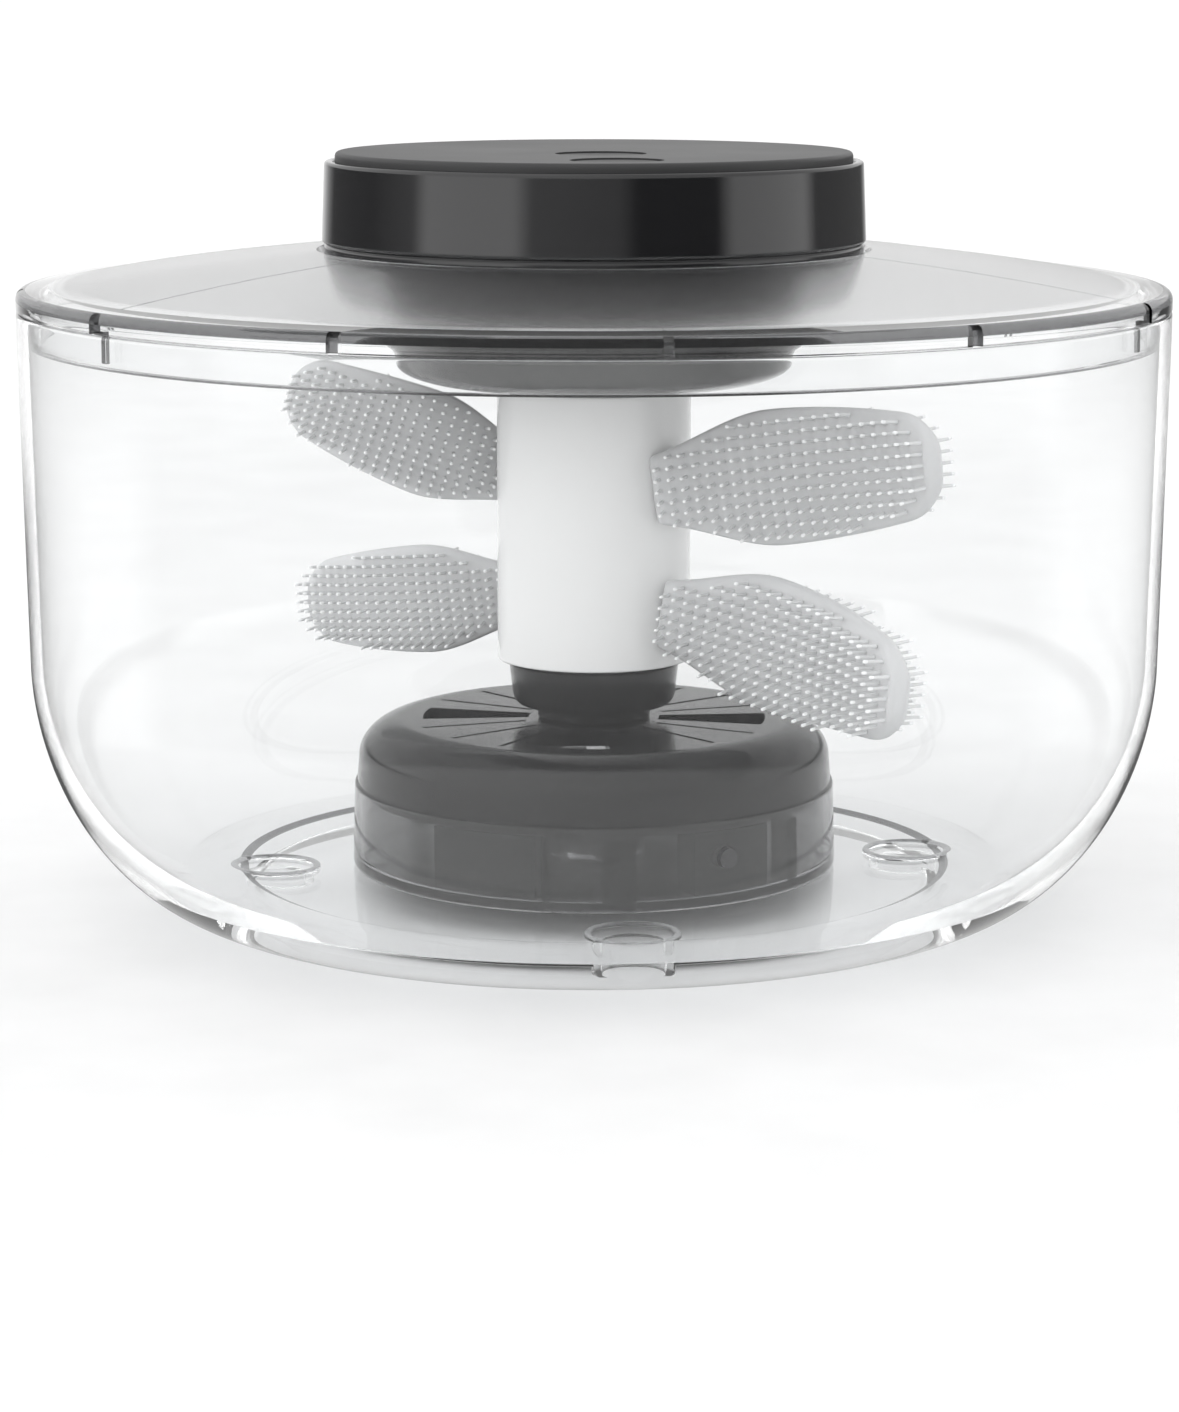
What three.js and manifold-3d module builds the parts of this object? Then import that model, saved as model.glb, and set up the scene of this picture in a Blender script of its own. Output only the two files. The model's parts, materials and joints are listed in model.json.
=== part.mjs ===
// Brush cleaner: a clear bowl with a clear lid, a battery motor unit on the lid, and a
// spinning column with four bristled brushes above a smoky grit trap.
// Millimetres, +Z up, front = -Y, origin under the middle of the foot ring.
import * as THREE from 'three';
import { mergeVertices } from 'three/addons/utils/BufferGeometryUtils.js';
import Module from 'manifold-3d';

const wasm = await Module();
wasm.setup();

// ---------- driving dimensions ----------
const GAP = 0.3;                    // clearance between pieces that rest on each other
const BOWL_R = 125;                 // bowl and lid outer radius at the seam
const BOWL_TOP = 132;               // height of the bowl rim
const BOWL_WALL = 2.5;
const CORNER_R = 123.7;             // bowl radius where the big round corner starts
const CORNER_TOP = 56;              // height of that place
const CORNER_POWER = 1.9;           // roundness of the corner, 2 is an ellipse
const FOOT_IN = 77;                 // foot ring, inner and outer radius
const FOOT_OUT = 82;
const FOOT_SLOPE = 3;               // how far the inner side of the foot ring leans in
const FLOOR_UNDER = 4;              // bowl floor, underside and top
const FLOOR_TOP = 7;
const FLOOR_STEP_R = 78;            // the floor steps up outside this radius
const FLOOR_STEP_H = 0.8;
const SOCKET_R = 71.3;              // four suction foot sockets on this radius
const SOCKET_OUT = 8.5;             // socket boss, outer and bore radius
const SOCKET_BORE = 6.75;
const SOCKET_BOTTOM = 2.4;
const SOCKET_ROOF = 5.5;
const SOCKET_RING = 10.1;           // raised ring on the floor above each socket
const SOCKET_RING_TOP = 8;
const SOCKET_RING_WALL = 1.4;
const SOCKET_ANGLES = [-90, 0, 90, 180];
const RIM_BAND = 4;                 // straight band below the bowl rim
const SPIGOT_R = 9;                 // spigot on the floor that centres the grit trap
const SPIGOT_TOP = 11;

const LID_EDGE_TOP = 136.3;         // top of the lid's vertical rim band
const DOME_PEAK = 146.9;            // dome height is DOME_PEAK - DOME_FALL * r * r
const DOME_FALL = 7.1e-4;
const DOME_EDGE_R = 118;
const LID_WALL = 2.4;
const SKIRT_R = 122;                // skirt that centres the lid in the bowl
const SKIRT_WALL = 2.2;
const SKIRT_JOIN = 133;             // where the skirt meets the underside of the dome
const SKIRT_BOTTOM = 124.8;
const SLOT_COUNT = 12;              // notches round the rim, every other one is long
const SLOT_WIDTH = 2;
const SLOT_DEPTH = 1.6;
const LONG_SLOT_DEPTH = 0.9;
const LONG_SLOT_BOTTOM = 126.3;
const SEAT_R = 59.8;                // round seat in the lid under the motor unit
const SEAT_Z = 142.6;
const SEAT_UNDER = 140.4;
const LID_HOLE_R = 46;

const DISH_R = 43.3;                // splash dish below the lid
const DISH_SHOULDER_Z = 119.6;
const DISH_BOTTOM = 114.8;
const DISH_FLAT_R = 25;
const DISH_WALL = 2;
const DISH_HOLE_R = 10.8;
const DISH_FLANGE_R = 56.8;         // flange that is welded under the lid's seat
const DISH_MOUTH_R = 47;
const DISH_SEAL_Z = 117.2;          // the bearing ends here and the seal sits above
const DISH_SEAL_TOP = 118.4;

const CAP_R = 59.1;                 // motor unit
const CAP_TOP_R = 58.3;
const CAP_LIP_R = 58.6;
const CAP_LIP_TOP = 145.6;
const CAP_SHOULDER = 163.3;
const CAP_INNER_R = 56.5;
const PANEL_R = 56.1;
const PANEL_UNDER = 163;
const PANEL_TOP = 165.3;
const BUTTON_R = 9.5;
const BUTTON_TOP = 165;
const BUTTON_PLACES = [-13, -41.8]; // along the front radius of the panel
const POT_R = 37.5;                 // gearbox pot that hangs in the dish
const POT_BOTTOM = 119;
const POT_WALL = 2;
const POT_HOLE_R = 4.2;
const POT_LEDGE_Z = 132;            // ledge inside the pot that carries the gear plate
const FLANGE_Z = 144.2;             // pot flange underside
const FLANGE_THICK = 1.7;
const BEARING_R = 6.5;
const SCREW_CIRCLE = 53.3;
const CASE_SCREW_Z = 143;

const MODULE = 0.75;                // gear pair
const GEAR_TEETH = 42;
const PINION_TEETH = 14;
const GEAR_Z = 126.4;
const GEAR_HEIGHT = 5;
const AXLE_SPACING = MODULE * (GEAR_TEETH + PINION_TEETH) / 2;
const BACKLASH = 0.2;
const HEX_FLATS = 8;
const SHAFT_R = 2.95;

const TUBE_R = 21.3;                // brush column
const TUBE_INNER = 19.2;
const TUBE_BOTTOM = 54;
const TUBE_TOP = 114;
const STEM_R = 3;
const CUP_R = 18.8;                 // fixed cup below the column
const CUP_NECK_R = 12.5;
const CUP_BOTTOM = 40.9;
const CUP_TOP = 53.4;
const BUSH_R = 16.2;                // bearing bush inside the foot of the column
const BUSH_TOP = 60;
const PIN_R = 2.5;
const PIN_TOP = 68;

const TRAP_R = 53.8;                // grit trap
const TRAP_TOP_R = 53.2;
const TRAP_BOTTOM = 7.3;
const TRAP_SEAM = 26.5;
const TRAP_TOP = 40.6;
const TRAP_FLAT_R = 42;
const TRAP_WALL = 2;
const TRAP_TURN = -101.5;           // direction of the first wedge opening, degrees
const WEDGE_HALF = 10.3;
const RIB_SLOT_ANGLES = [25, 45, 65];
const LATCH_Z = 18.2;

// The brushes: where each root meets the tube, the headings of the blade at its root and
// tip (degrees in plan), root and tip heights, and size next to the largest.
const BRUSHES = [
  { start: -59.5, from: -16.5, to: -54.5, rootZ: 93.4, tipZ: 103.2, size: 1 },
  { start: -53.3, from: -28.5, to: -69.5, rootZ: 66.4, tipZ: 55.2, size: 1 },
  { start: 132.6, from: 190.8, to: 150.8, rootZ: 92.5, tipZ: 112.2, size: 0.81 },
  { start: 130.7, from: 164.7, to: 124.7, rootZ: 66.1, tipZ: 60.1, size: 0.84 },
];
const BRUSH_LENGTH = 68;
const BRUSH_ROOT_HALF = 7.15;       // half widths
const BRUSH_MAX_HALF = 14.65;
const BRUSH_TIP_HALF = 9.8;
const WIDEST = 0.4;                 // shares of the length where a brush is widest and
const TIP_START = 0.86;             // where its rounded tip starts
const PAD_THICK = 5.2;
const CORE_INSET = 3.6;             // how far the core stays inside the pad's outline
const POCKET_INSET = 3.2;
const CORE_THICK = 1.8;

const ROUND = 32;                   // facets round a large, medium and small piece
const MEDIUM = 24;
const SMALL = 12;

const rad = THREE.MathUtils.degToRad;

// ---------- materials ----------
function plastic(color, roughness, opacity = 1) {
  return new THREE.MeshStandardMaterial({
    color, roughness, metalness: 0, opacity, transparent: opacity < 1,
  });
}
function metal(color, roughness) {
  return new THREE.MeshStandardMaterial({ color, roughness, metalness: 1 });
}
const CLEAR = plastic(0xf4f6f7, 0.05, 0.25);
const SMOKY = plastic(0x3c3d3f, 0.2, 0.8);
const BLACK_GLOSS = plastic(0x17181a, 0.15);
const BLACK_SATIN = plastic(0x3a3b3d, 0.45);
const WHITE_GLOSS = plastic(0xf2f2f0, 0.15);
const WHITE_ACETAL = plastic(0xe6e4dc, 0.4);
const SILICONE = plastic(0xc9cacb, 0.6);
const RUBBER = plastic(0x1c1c1d, 0.8);
const STEEL = metal(0xc4c6c8, 0.25);
const DARK_PLASTIC = plastic(0x2a2b2d, 0.5);
const POUCH = metal(0xb9bdc2, 0.4);
const BOARD = plastic(0x1f5a34, 0.5);

// ---------- solids ----------
// A geometry as a closed solid: shared vertices merged, slivers dropped, faces outward.
function solid(geometry) {
  const bare = geometry.clone();
  bare.deleteAttribute('normal');
  bare.deleteAttribute('uv');
  const merged = mergeVertices(bare, 1e-4);
  const place = merged.getAttribute('position');
  const faces = [];
  for (let i = 0; i < merged.index.count; i += 3) {
    const [a, b, c] = [0, 1, 2].map((k) => merged.index.getX(i + k));
    if (a !== b && b !== c && c !== a) faces.push(a, b, c);
  }
  const [p, q, r] = [new THREE.Vector3(), new THREE.Vector3(), new THREE.Vector3()];
  let volume = 0;
  for (let i = 0; i < faces.length; i += 3) {
    p.fromBufferAttribute(place, faces[i]);
    q.fromBufferAttribute(place, faces[i + 1]);
    r.fromBufferAttribute(place, faces[i + 2]);
    volume += p.dot(q.cross(r));
  }
  if (volume < 0) faces.reverse();
  const mesh = new wasm.Mesh({
    numProp: 3,
    vertProperties: new Float32Array(place.array),
    triVerts: new Uint32Array(faces),
  });
  return new wasm.Manifold(mesh);
}

function geometryOf(body) {
  const mesh = body.getMesh();
  const geometry = new THREE.BufferGeometry();
  geometry.setAttribute('position', new THREE.BufferAttribute(mesh.vertProperties, 3));
  geometry.setIndex(new THREE.BufferAttribute(mesh.triVerts, 1));
  geometry.computeVertexNormals();
  return geometry;
}

// A profile of [radius, height] points turned round the Z axis.
function turned(profile, facets) {
  const points = profile.map(([r, z]) => new THREE.Vector2(r, z));
  const onAxis = profile[0][0] === 0 && profile.at(-1)[0] === 0;
  if (!onAxis) points.push(points[0].clone());
  return solid(new THREE.LatheGeometry(points, facets).rotateX(Math.PI / 2));
}

function rod(radius, bottom, top, facets = SMALL, x = 0, y = 0) {
  const shape = new THREE.CylinderGeometry(radius, radius, top - bottom, facets);
  return solid(shape.rotateX(Math.PI / 2).translate(x, y, (bottom + top) / 2));
}

function ring(inner, outer, bottom, top, facets = MEDIUM) {
  return turned([[inner, bottom], [outer, bottom], [outer, top], [inner, top]], facets);
}

// A box from its low and high corners, turned about Z by an angle in degrees.
function box([x0, y0, z0], [x1, y1, z1], angle = 0) {
  const shape = new THREE.BoxGeometry(x1 - x0, y1 - y0, z1 - z0);
  shape.translate((x0 + x1) / 2, (y0 + y1) / 2, (z0 + z1) / 2);
  return solid(shape.rotateZ(rad(angle)));
}

function extruded(shape, bottom, top, angle = 0, curveSegments = 6) {
  const options = { depth: top - bottom, bevelEnabled: false, curveSegments };
  const geometry = new THREE.ExtrudeGeometry(shape, options);
  return solid(geometry.translate(0, 0, bottom).rotateZ(rad(angle)));
}

// A piece of a ring between two radii, as wide as twice the half angle.
function sector(inner, outer, half, bottom, top, angle) {
  const shape = new THREE.Shape();
  shape.absarc(0, 0, outer, rad(-half), rad(half), false);
  shape.absarc(0, 0, inner, rad(half), rad(-half), true);
  shape.closePath();
  return extruded(shape, bottom, top, angle);
}

function roundedPlate(x0, y0, x1, y1, corner, bottom, top) {
  const shape = new THREE.Shape();
  shape.absarc(x1 - corner, y0 + corner, corner, rad(-90), 0, false);
  shape.absarc(x1 - corner, y1 - corner, corner, 0, rad(90), false);
  shape.absarc(x0 + corner, y1 - corner, corner, rad(90), rad(180), false);
  shape.absarc(x0 + corner, y0 + corner, corner, rad(180), rad(270), false);
  shape.closePath();
  return extruded(shape, bottom, top, 0, 3);
}

// Points of a rounded corner between two places, as a quarter of a superellipse that
// leaves the first place level and arrives at the second upright.
function corner([r0, z0], [r1, z1], power, steps) {
  return Array.from({ length: steps + 1 }, (_, i) => {
    const turn = (Math.PI / 2) * (1 - i / steps);
    const across = Math.cos(turn) ** (2 / power);
    const down = Math.sin(turn) ** (2 / power);
    return [r0 + (r1 - r0) * across, z1 + (z0 - z1) * down];
  });
}

// A closed solid through a list of cross-sections with the same number of points.
function lofted(sections) {
  const count = sections[0].length;
  const points = sections.flat();
  const faces = [];
  for (let s = 0; s + 1 < sections.length; s += 1) {
    for (let i = 0; i < count; i += 1) {
      const a = s * count + i;
      const b = s * count + ((i + 1) % count);
      faces.push(a, b, b + count, a, b + count, a + count);
    }
  }
  const last = (sections.length - 1) * count;
  for (let i = 1; i + 1 < count; i += 1) {
    faces.push(0, i + 1, i, last, last + i, last + i + 1);
  }
  const geometry = new THREE.BufferGeometry().setFromPoints(points);
  geometry.setIndex(faces);
  return solid(geometry);
}

// ---------- assembly ----------
const cleaner = new THREE.Group();
cleaner.name = 'brush_cleaner';

function add(name, body, material) {
  const mesh = new THREE.Mesh(geometryOf(body), material);
  mesh.name = name;
  cleaner.add(mesh);
  return mesh;
}

// ---------- bowl ----------
function bowl() {
  const outside = corner([FOOT_OUT, 0], [CORNER_R, CORNER_TOP], CORNER_POWER, 7);
  const inside = corner(
    [FOOT_OUT + 1, FLOOR_TOP + FLOOR_STEP_H],
    [CORNER_R - BOWL_WALL, CORNER_TOP], CORNER_POWER, 6,
  );
  let body = turned([
    [0, FLOOR_UNDER], [FOOT_IN - FOOT_SLOPE, FLOOR_UNDER], [FOOT_IN, 0],
    ...outside,
    [BOWL_R, BOWL_TOP - RIM_BAND], [BOWL_R, BOWL_TOP],
    [BOWL_R - BOWL_WALL, BOWL_TOP], [BOWL_R - BOWL_WALL, BOWL_TOP - RIM_BAND],
    ...inside.reverse(),
    [FLOOR_STEP_R + 0.5, FLOOR_TOP + FLOOR_STEP_H], [FLOOR_STEP_R, FLOOR_TOP],
    [0, FLOOR_TOP],
  ], ROUND);
  body = body.add(rod(SPIGOT_R, FLOOR_TOP - 1, SPIGOT_TOP, MEDIUM));
  for (const angle of SOCKET_ANGLES) {
    const x = SOCKET_R * Math.cos(rad(angle));
    const y = SOCKET_R * Math.sin(rad(angle));
    const inside = SOCKET_RING - SOCKET_RING_WALL;
    body = body.add(rod(SOCKET_OUT, SOCKET_BOTTOM, FLOOR_UNDER + 1, 16, x, y));
    body = body.add(rod(SOCKET_RING, FLOOR_UNDER + 1, SOCKET_RING_TOP, 16, x, y));
    body = body.subtract(rod(inside, FLOOR_TOP, SOCKET_RING_TOP + 1, 16, x, y));
    body = body.subtract(rod(SOCKET_BORE, -1, SOCKET_ROOF, 16, x, y));
  }
  return body;
}

// ---------- grit trap ----------
const DOME_LIP_OUT = TRAP_TOP_R - TRAP_WALL - GAP - 0.1;
const DOME_LIP_WALL = 1.9;
const DOME_CURVE = 10.2;            // reach and drop of the dome's rounded shoulder
const DOME_DROP = 8.1;
const TRAY_CHAMFER = 0.8;
const TRAY_HUB_R = 9.4;             // hub of the tray that sits over the bowl's spigot
const BLOCK_OUT = 50.2;
const BLOCK_TOP = 23.6;             // top of the blocks and ribs inside the tray
const BALLAST_IN = 40;
const LATCH_IN = 42;
const RIB_IN = 47.5;
const LATCH_BORE = 2.6;
const LATCH_BUTTON_R = 2.25;
const WEDGE_IN = 14.5;              // wedge openings and slits in the dome's flat top
const WEDGE_OUT = 38;
const SLIT_HALF = 0.6;
const SLIT_IN = 16;
const SLIT_OUT = 40;
const CUT_BOTTOM = 37;
const CUT_TOP = 42;
const DOME_SCREW_HOLE = 1.8;
const BALLAST_PLACES = [-124.75, 55.25];
const LATCH_PLACES = [-60.5, 119.5];
const LATCH_OFFSET = -4;            // the button sits off the middle of its block
const WALL_RIBS = [[-90.5, 4], [-41.5, 2], [-108, 0.8], [89.5, 4], [138.5, 2], [72, 0.8]];

function trapTray() {
  const floor = TRAP_BOTTOM + TRAP_WALL;
  const recess = SPIGOT_TOP + GAP;
  const edge = TRAP_SEAM - 0.2;
  let body = turned([
    [0, recess], [TRAY_HUB_R, recess], [TRAY_HUB_R, TRAP_BOTTOM],
    [TRAP_R - TRAY_CHAMFER, TRAP_BOTTOM], [TRAP_R, TRAP_BOTTOM + TRAY_CHAMFER],
    [TRAP_TOP_R, edge], [TRAP_TOP_R - TRAP_WALL, edge],
    [TRAP_R - TRAP_WALL - 0.3, floor], [TRAY_HUB_R + TRAP_WALL, floor],
    [TRAY_HUB_R + TRAP_WALL, recess + TRAP_WALL], [0, recess + TRAP_WALL],
  ], ROUND);
  for (const [angle, half] of WALL_RIBS) {
    body = body.add(sector(RIB_IN, TRAP_TOP_R - 1, half, floor - 1, BLOCK_TOP, angle));
  }
  for (const angle of LATCH_PLACES) {
    body = body.subtract(latchRod(LATCH_BORE, BLOCK_OUT - 1.2, TRAP_R + 4.2, angle));
  }
  return body;
}

function latchRod(radius, from, to, angle) {
  const shape = new THREE.CylinderGeometry(radius, radius, to - from, SMALL);
  shape.rotateZ(-Math.PI / 2).translate((from + to) / 2, 0, LATCH_Z);
  return solid(shape.rotateZ(rad(angle + LATCH_OFFSET)));
}

function trapDome() {
  const shoulder = TRAP_TOP - DOME_DROP;
  const outer = corner(
    [TRAP_FLAT_R, TRAP_TOP], [TRAP_FLAT_R + DOME_CURVE, shoulder], 2, 3,
  );
  const inner = corner(
    [TRAP_FLAT_R, TRAP_TOP - TRAP_WALL],
    [TRAP_FLAT_R + DOME_CURVE - TRAP_WALL, shoulder], 2, 3,
  );
  const edge = TRAP_SEAM + 0.1;
  const lipBottom = TRAP_SEAM - 2.4;
  const lip = DOME_LIP_OUT - DOME_LIP_WALL;
  let body = turned([
    [0, TRAP_TOP], ...outer, [TRAP_TOP_R, edge],
    [DOME_LIP_OUT, edge], [DOME_LIP_OUT, lipBottom],
    [lip, lipBottom], [lip, TRAP_SEAM + 1],
    ...inner.reverse(), [0, TRAP_TOP - TRAP_WALL],
  ], ROUND);
  for (let quarter = 0; quarter < 4; quarter += 1) {
    const middle = TRAP_TURN + 90 * quarter;
    const wedge = sector(WEDGE_IN, WEDGE_OUT, WEDGE_HALF, CUT_BOTTOM, CUT_TOP, middle);
    body = body.subtract(wedge);
    for (const step of RIB_SLOT_ANGLES) {
      const slit = box([SLIT_IN, -SLIT_HALF, CUT_BOTTOM], [SLIT_OUT, SLIT_HALF, CUT_TOP],
        middle + step);
      body = body.subtract(slit);
    }
  }
  return body.subtract(rod(DOME_SCREW_HOLE, CUT_BOTTOM, CUT_TOP));
}

function latchBlock(angle) {
  const bottom = TRAP_BOTTOM + TRAP_WALL + GAP;
  const block = sector(LATCH_IN, BLOCK_OUT, 11, bottom, BLOCK_TOP, angle);
  return block.subtract(latchRod(LATCH_BORE, LATCH_IN + 1.2, BLOCK_OUT + 10, angle));
}

// ---------- pivot ----------
const PIN_BOTTOM = 46;              // bottom of the pin's seat in the cup
const PIVOT_SCREW_Z = 36.7;
function pivotCup() {
  const body = turned([
    [0, CUP_BOTTOM], [CUP_NECK_R, CUP_BOTTOM], [CUP_NECK_R, 43.3], [17.4, 44.2],
    [CUP_R - 0.5, 46],
    [CUP_R, CUP_TOP], [0, CUP_TOP],
  ], MEDIUM);
  const seat = rod(PIN_R + GAP, PIN_BOTTOM, CUP_TOP + 1);
  const screwHole = rod(1.7, CUP_BOTTOM - 1, PIN_BOTTOM - 1);
  return body.subtract(seat).subtract(screwHole);
}

function pivotPin() {
  return turned([
    [0, PIN_BOTTOM + GAP], [PIN_R, PIN_BOTTOM + GAP], [PIN_R, PIN_TOP - 1],
    [PIN_R - 1.2, PIN_TOP],
    [0, PIN_TOP],
  ], SMALL);
}

function screw(headR, headHeight, shankR, length) {
  return turned([
    [0, 0], [headR - 0.4, 0], [headR, 0.4], [headR, headHeight], [shankR, headHeight],
    [shankR, length], [0, length],
  ], 12);
}

// ---------- lid ----------
const domeZ = (r) => DOME_PEAK - DOME_FALL * r * r;

function lidShell() {
  const dome = [DOME_EDGE_R, 98, 80, SEAT_R + 0.3];
  const under = [SEAT_R - 2, 80, 98, DOME_EDGE_R - 1];
  let body = turned([
    [LID_HOLE_R, SEAT_UNDER], [SEAT_R - 2.5, SEAT_UNDER],
    ...under.map((r) => [r, domeZ(r) - LID_WALL]),
    [SKIRT_R - SKIRT_WALL, SKIRT_JOIN], [SKIRT_R - SKIRT_WALL, SKIRT_BOTTOM],
    [SKIRT_R, SKIRT_BOTTOM], [SKIRT_R, BOWL_TOP + GAP], [BOWL_R, BOWL_TOP + GAP],
    [BOWL_R, LID_EDGE_TOP - 1], [BOWL_R - 1, LID_EDGE_TOP],
    ...dome.map((r) => [r, domeZ(r)]),
    [SEAT_R, SEAT_Z], [LID_HOLE_R, SEAT_Z],
  ], ROUND);
  const half = SLOT_WIDTH / 2;
  for (let i = 0; i < SLOT_COUNT; i += 1) {
    const angle = -90 + (360 / SLOT_COUNT) * i;
    const notch = box([BOWL_R - SLOT_DEPTH, -half, BOWL_TOP - 2],
      [BOWL_R + 2, half, LID_EDGE_TOP + 4], angle);
    body = body.subtract(notch);
    if (i % 2 === 0) {
      const slot = box([SKIRT_R - LONG_SLOT_DEPTH, -half, LONG_SLOT_BOTTOM],
        [SKIRT_R + 5, half, BOWL_TOP + 1], angle);
      body = body.subtract(slot);
    }
  }
  return body;
}

function motorDish() {
  const flange = SEAT_UNDER - GAP;
  const outer = corner([DISH_FLAT_R, DISH_BOTTOM], [DISH_R, DISH_SHOULDER_Z], 2, 4);
  const inner = corner(
    [DISH_FLAT_R, DISH_BOTTOM + DISH_WALL],
    [DISH_R - DISH_WALL, DISH_SHOULDER_Z + 0.4], 2, 3,
  );
  return turned([
    [DISH_HOLE_R, DISH_BOTTOM], ...outer, [44.5, 130], [48.5, 136.4],
    [DISH_FLANGE_R, flange - 1.8], [DISH_FLANGE_R, flange], [DISH_MOUTH_R, flange],
    [42.6, 131], ...inner.reverse(), [DISH_HOLE_R, DISH_BOTTOM + DISH_WALL],
  ], ROUND);
}

// ---------- brush column ----------
const HUB_BOTTOM = 104;             // drive hub in the top of the tube
const HUB_NECK_R = 7.2;
const HUB_TOP = 118.4;
const FOOT_BOTTOM = 62;             // bearing foot inside the tube
const FOOT_NECK_R = 8;
const FOOT_DISC = 71;
const FOOT_TOP = 75;
function hexRod(flats, bottom, top) {
  return rod(flats / Math.sqrt(3), bottom, top, 6);
}

function driveHub() {
  const body = turned([
    [0, HUB_BOTTOM], [TUBE_INNER - GAP, HUB_BOTTOM], [TUBE_INNER - GAP, TUBE_TOP - GAP],
    [HUB_NECK_R, TUBE_TOP - GAP], [HUB_NECK_R, HUB_TOP], [0, HUB_TOP],
  ], MEDIUM);
  return body.subtract(hexRod(HEX_FLATS + 0.8, HUB_BOTTOM + 1.5, HUB_TOP + 1));
}

function columnFoot() {
  const body = turned([
    [0, FOOT_BOTTOM], [FOOT_NECK_R, FOOT_BOTTOM], [FOOT_NECK_R, FOOT_DISC],
    [TUBE_INNER - GAP, FOOT_DISC], [TUBE_INNER - GAP, FOOT_TOP], [0, FOOT_TOP],
  ], MEDIUM);
  return body.subtract(rod(PIN_R + GAP + 0.1, FOOT_BOTTOM - 1, PIN_TOP + 0.6));
}

function stemRod(brush, radius, from, to) {
  const shape = new THREE.CylinderGeometry(radius, radius, to - from, 12);
  shape.rotateZ(-Math.PI / 2).translate((from + to) / 2, 0, brush.rootZ);
  return solid(shape.rotateZ(rad(brush.start)));
}

function columnTube() {
  let body = ring(TUBE_INNER, TUBE_R, TUBE_BOTTOM, TUBE_TOP, ROUND);
  for (const brush of BRUSHES) body = body.subtract(stemRod(brush, STEM_R + GAP, 15, 30));
  return body;
}

// Half width of a brush at a share u of its length.
function brushHalf(u) {
  let half = BRUSH_MAX_HALF;
  if (u < WIDEST) {
    const rise = THREE.MathUtils.smoothstep(u, -0.06, WIDEST);
    half = BRUSH_ROOT_HALF + (BRUSH_MAX_HALF - BRUSH_ROOT_HALF) * rise;
  } else {
    const fall = ((u - WIDEST) / (1 - WIDEST)) ** 1.7;
    half -= (BRUSH_MAX_HALF - BRUSH_TIP_HALF) * fall;
  }
  if (u <= TIP_START) return half;
  const round = ((u - TIP_START) / (1 - TIP_START)) ** 2.4;
  return half * Math.sqrt(Math.max(0, 1 - round));
}

// Place, tangent, width and thickness directions of a brush at a share u of its length.
function brushFrame(brush, u) {
  const length = BRUSH_LENGTH * brush.size;
  const lean = Math.atan2(brush.tipZ - brush.rootZ, length);
  const from = rad(brush.from);
  const turn = rad(brush.to - brush.from);
  const run = length * Math.cos(lean);
  const start = TUBE_R + 0.2;
  const x = start * Math.cos(rad(brush.start))
    + run * (Math.sin(from + turn * u) - Math.sin(from)) / turn;
  const y = start * Math.sin(rad(brush.start))
    - run * (Math.cos(from + turn * u) - Math.cos(from)) / turn;
  const heading = from + turn * u;
  return {
    place: new THREE.Vector3(x, y, brush.rootZ + (brush.tipZ - brush.rootZ) * u),
    wide: new THREE.Vector3(
      -Math.cos(heading) * Math.sin(lean), -Math.sin(heading) * Math.sin(lean),
      Math.cos(lean),
    ),
    thick: new THREE.Vector3(Math.sin(heading), -Math.cos(heading), 0),
  };
}

// A blade along the brush between two shares of its length, inset from the outline.
function blade(brush, from, to, inset, thickness, steps) {
  const sections = [];
  for (let i = 0; i <= steps; i += 1) {
    const u = from + (to - from) * (i / steps);
    const { place, wide, thick } = brushFrame(brush, u);
    const half = Math.max(brushHalf(u) * brush.size - inset, 1.2);
    const t = thickness / 2;
    const edge = Math.max(half - t, half * 0.6);
    const outline = [
      [half, 0], [edge, t], [-edge, t], [-half, 0], [-edge, -t], [edge, -t],
    ];
    sections.push(outline.map(([w, h]) => place.clone()
      .addScaledVector(wide, w).addScaledVector(thick, h)));
  }
  return lofted(sections);
}

// The room taken up by the tube, with a gap round it.
function tubeRoom() {
  return rod(TUBE_R + GAP, TUBE_BOTTOM, TUBE_TOP, 2 * ROUND);
}

function brushArm(brush) {
  const core = blade(brush, 0.07, 0.9, CORE_INSET, CORE_THICK, 8);
  const neck = blade(brush, 0.02, 0.09, CORE_INSET, CORE_THICK, 1);
  const outside = core.add(neck).subtract(tubeRoom());
  return outside.add(stemRod(brush, STEM_R, 14, TUBE_R + 1.6));
}

function bristlePad(brush) {
  const skin = blade(brush, 0.05, 0.99, 0, PAD_THICK, 12);
  const pocket = blade(brush, 0.0, 0.92, POCKET_INSET, CORE_THICK + 0.7, 8);
  const stemRoom = stemRod(brush, STEM_R + GAP, 14, TUBE_R + 2.2);
  return skin.subtract(pocket).subtract(stemRoom).subtract(tubeRoom());
}

// ---------- motor unit ----------
const PANEL_SEAT_R = 53.2;          // ledge inside the cap that carries the panel
const PANEL_SEAT_Z = 160.6;
const BOSS_R = 3.6;                 // screw bosses and their holes
const BOSS_HOLE = 1.6;
const CORNERS = [45, 135, 225, 315];
const FLAP_HALF = 7.5;              // rubber flap over the charging port
const FLAP_IN = 57.9;
const FLAP_BOTTOM = 146.3;
const FLAP_TOP = 153.3;
const PORT_HALF = 5.2;
const PORT_BOTTOM = 147.6;
const PORT_TOP = 151.7;

function screwPlace(angle) {
  return [SCREW_CIRCLE * Math.cos(rad(angle)), SCREW_CIRCLE * Math.sin(rad(angle))];
}

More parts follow.
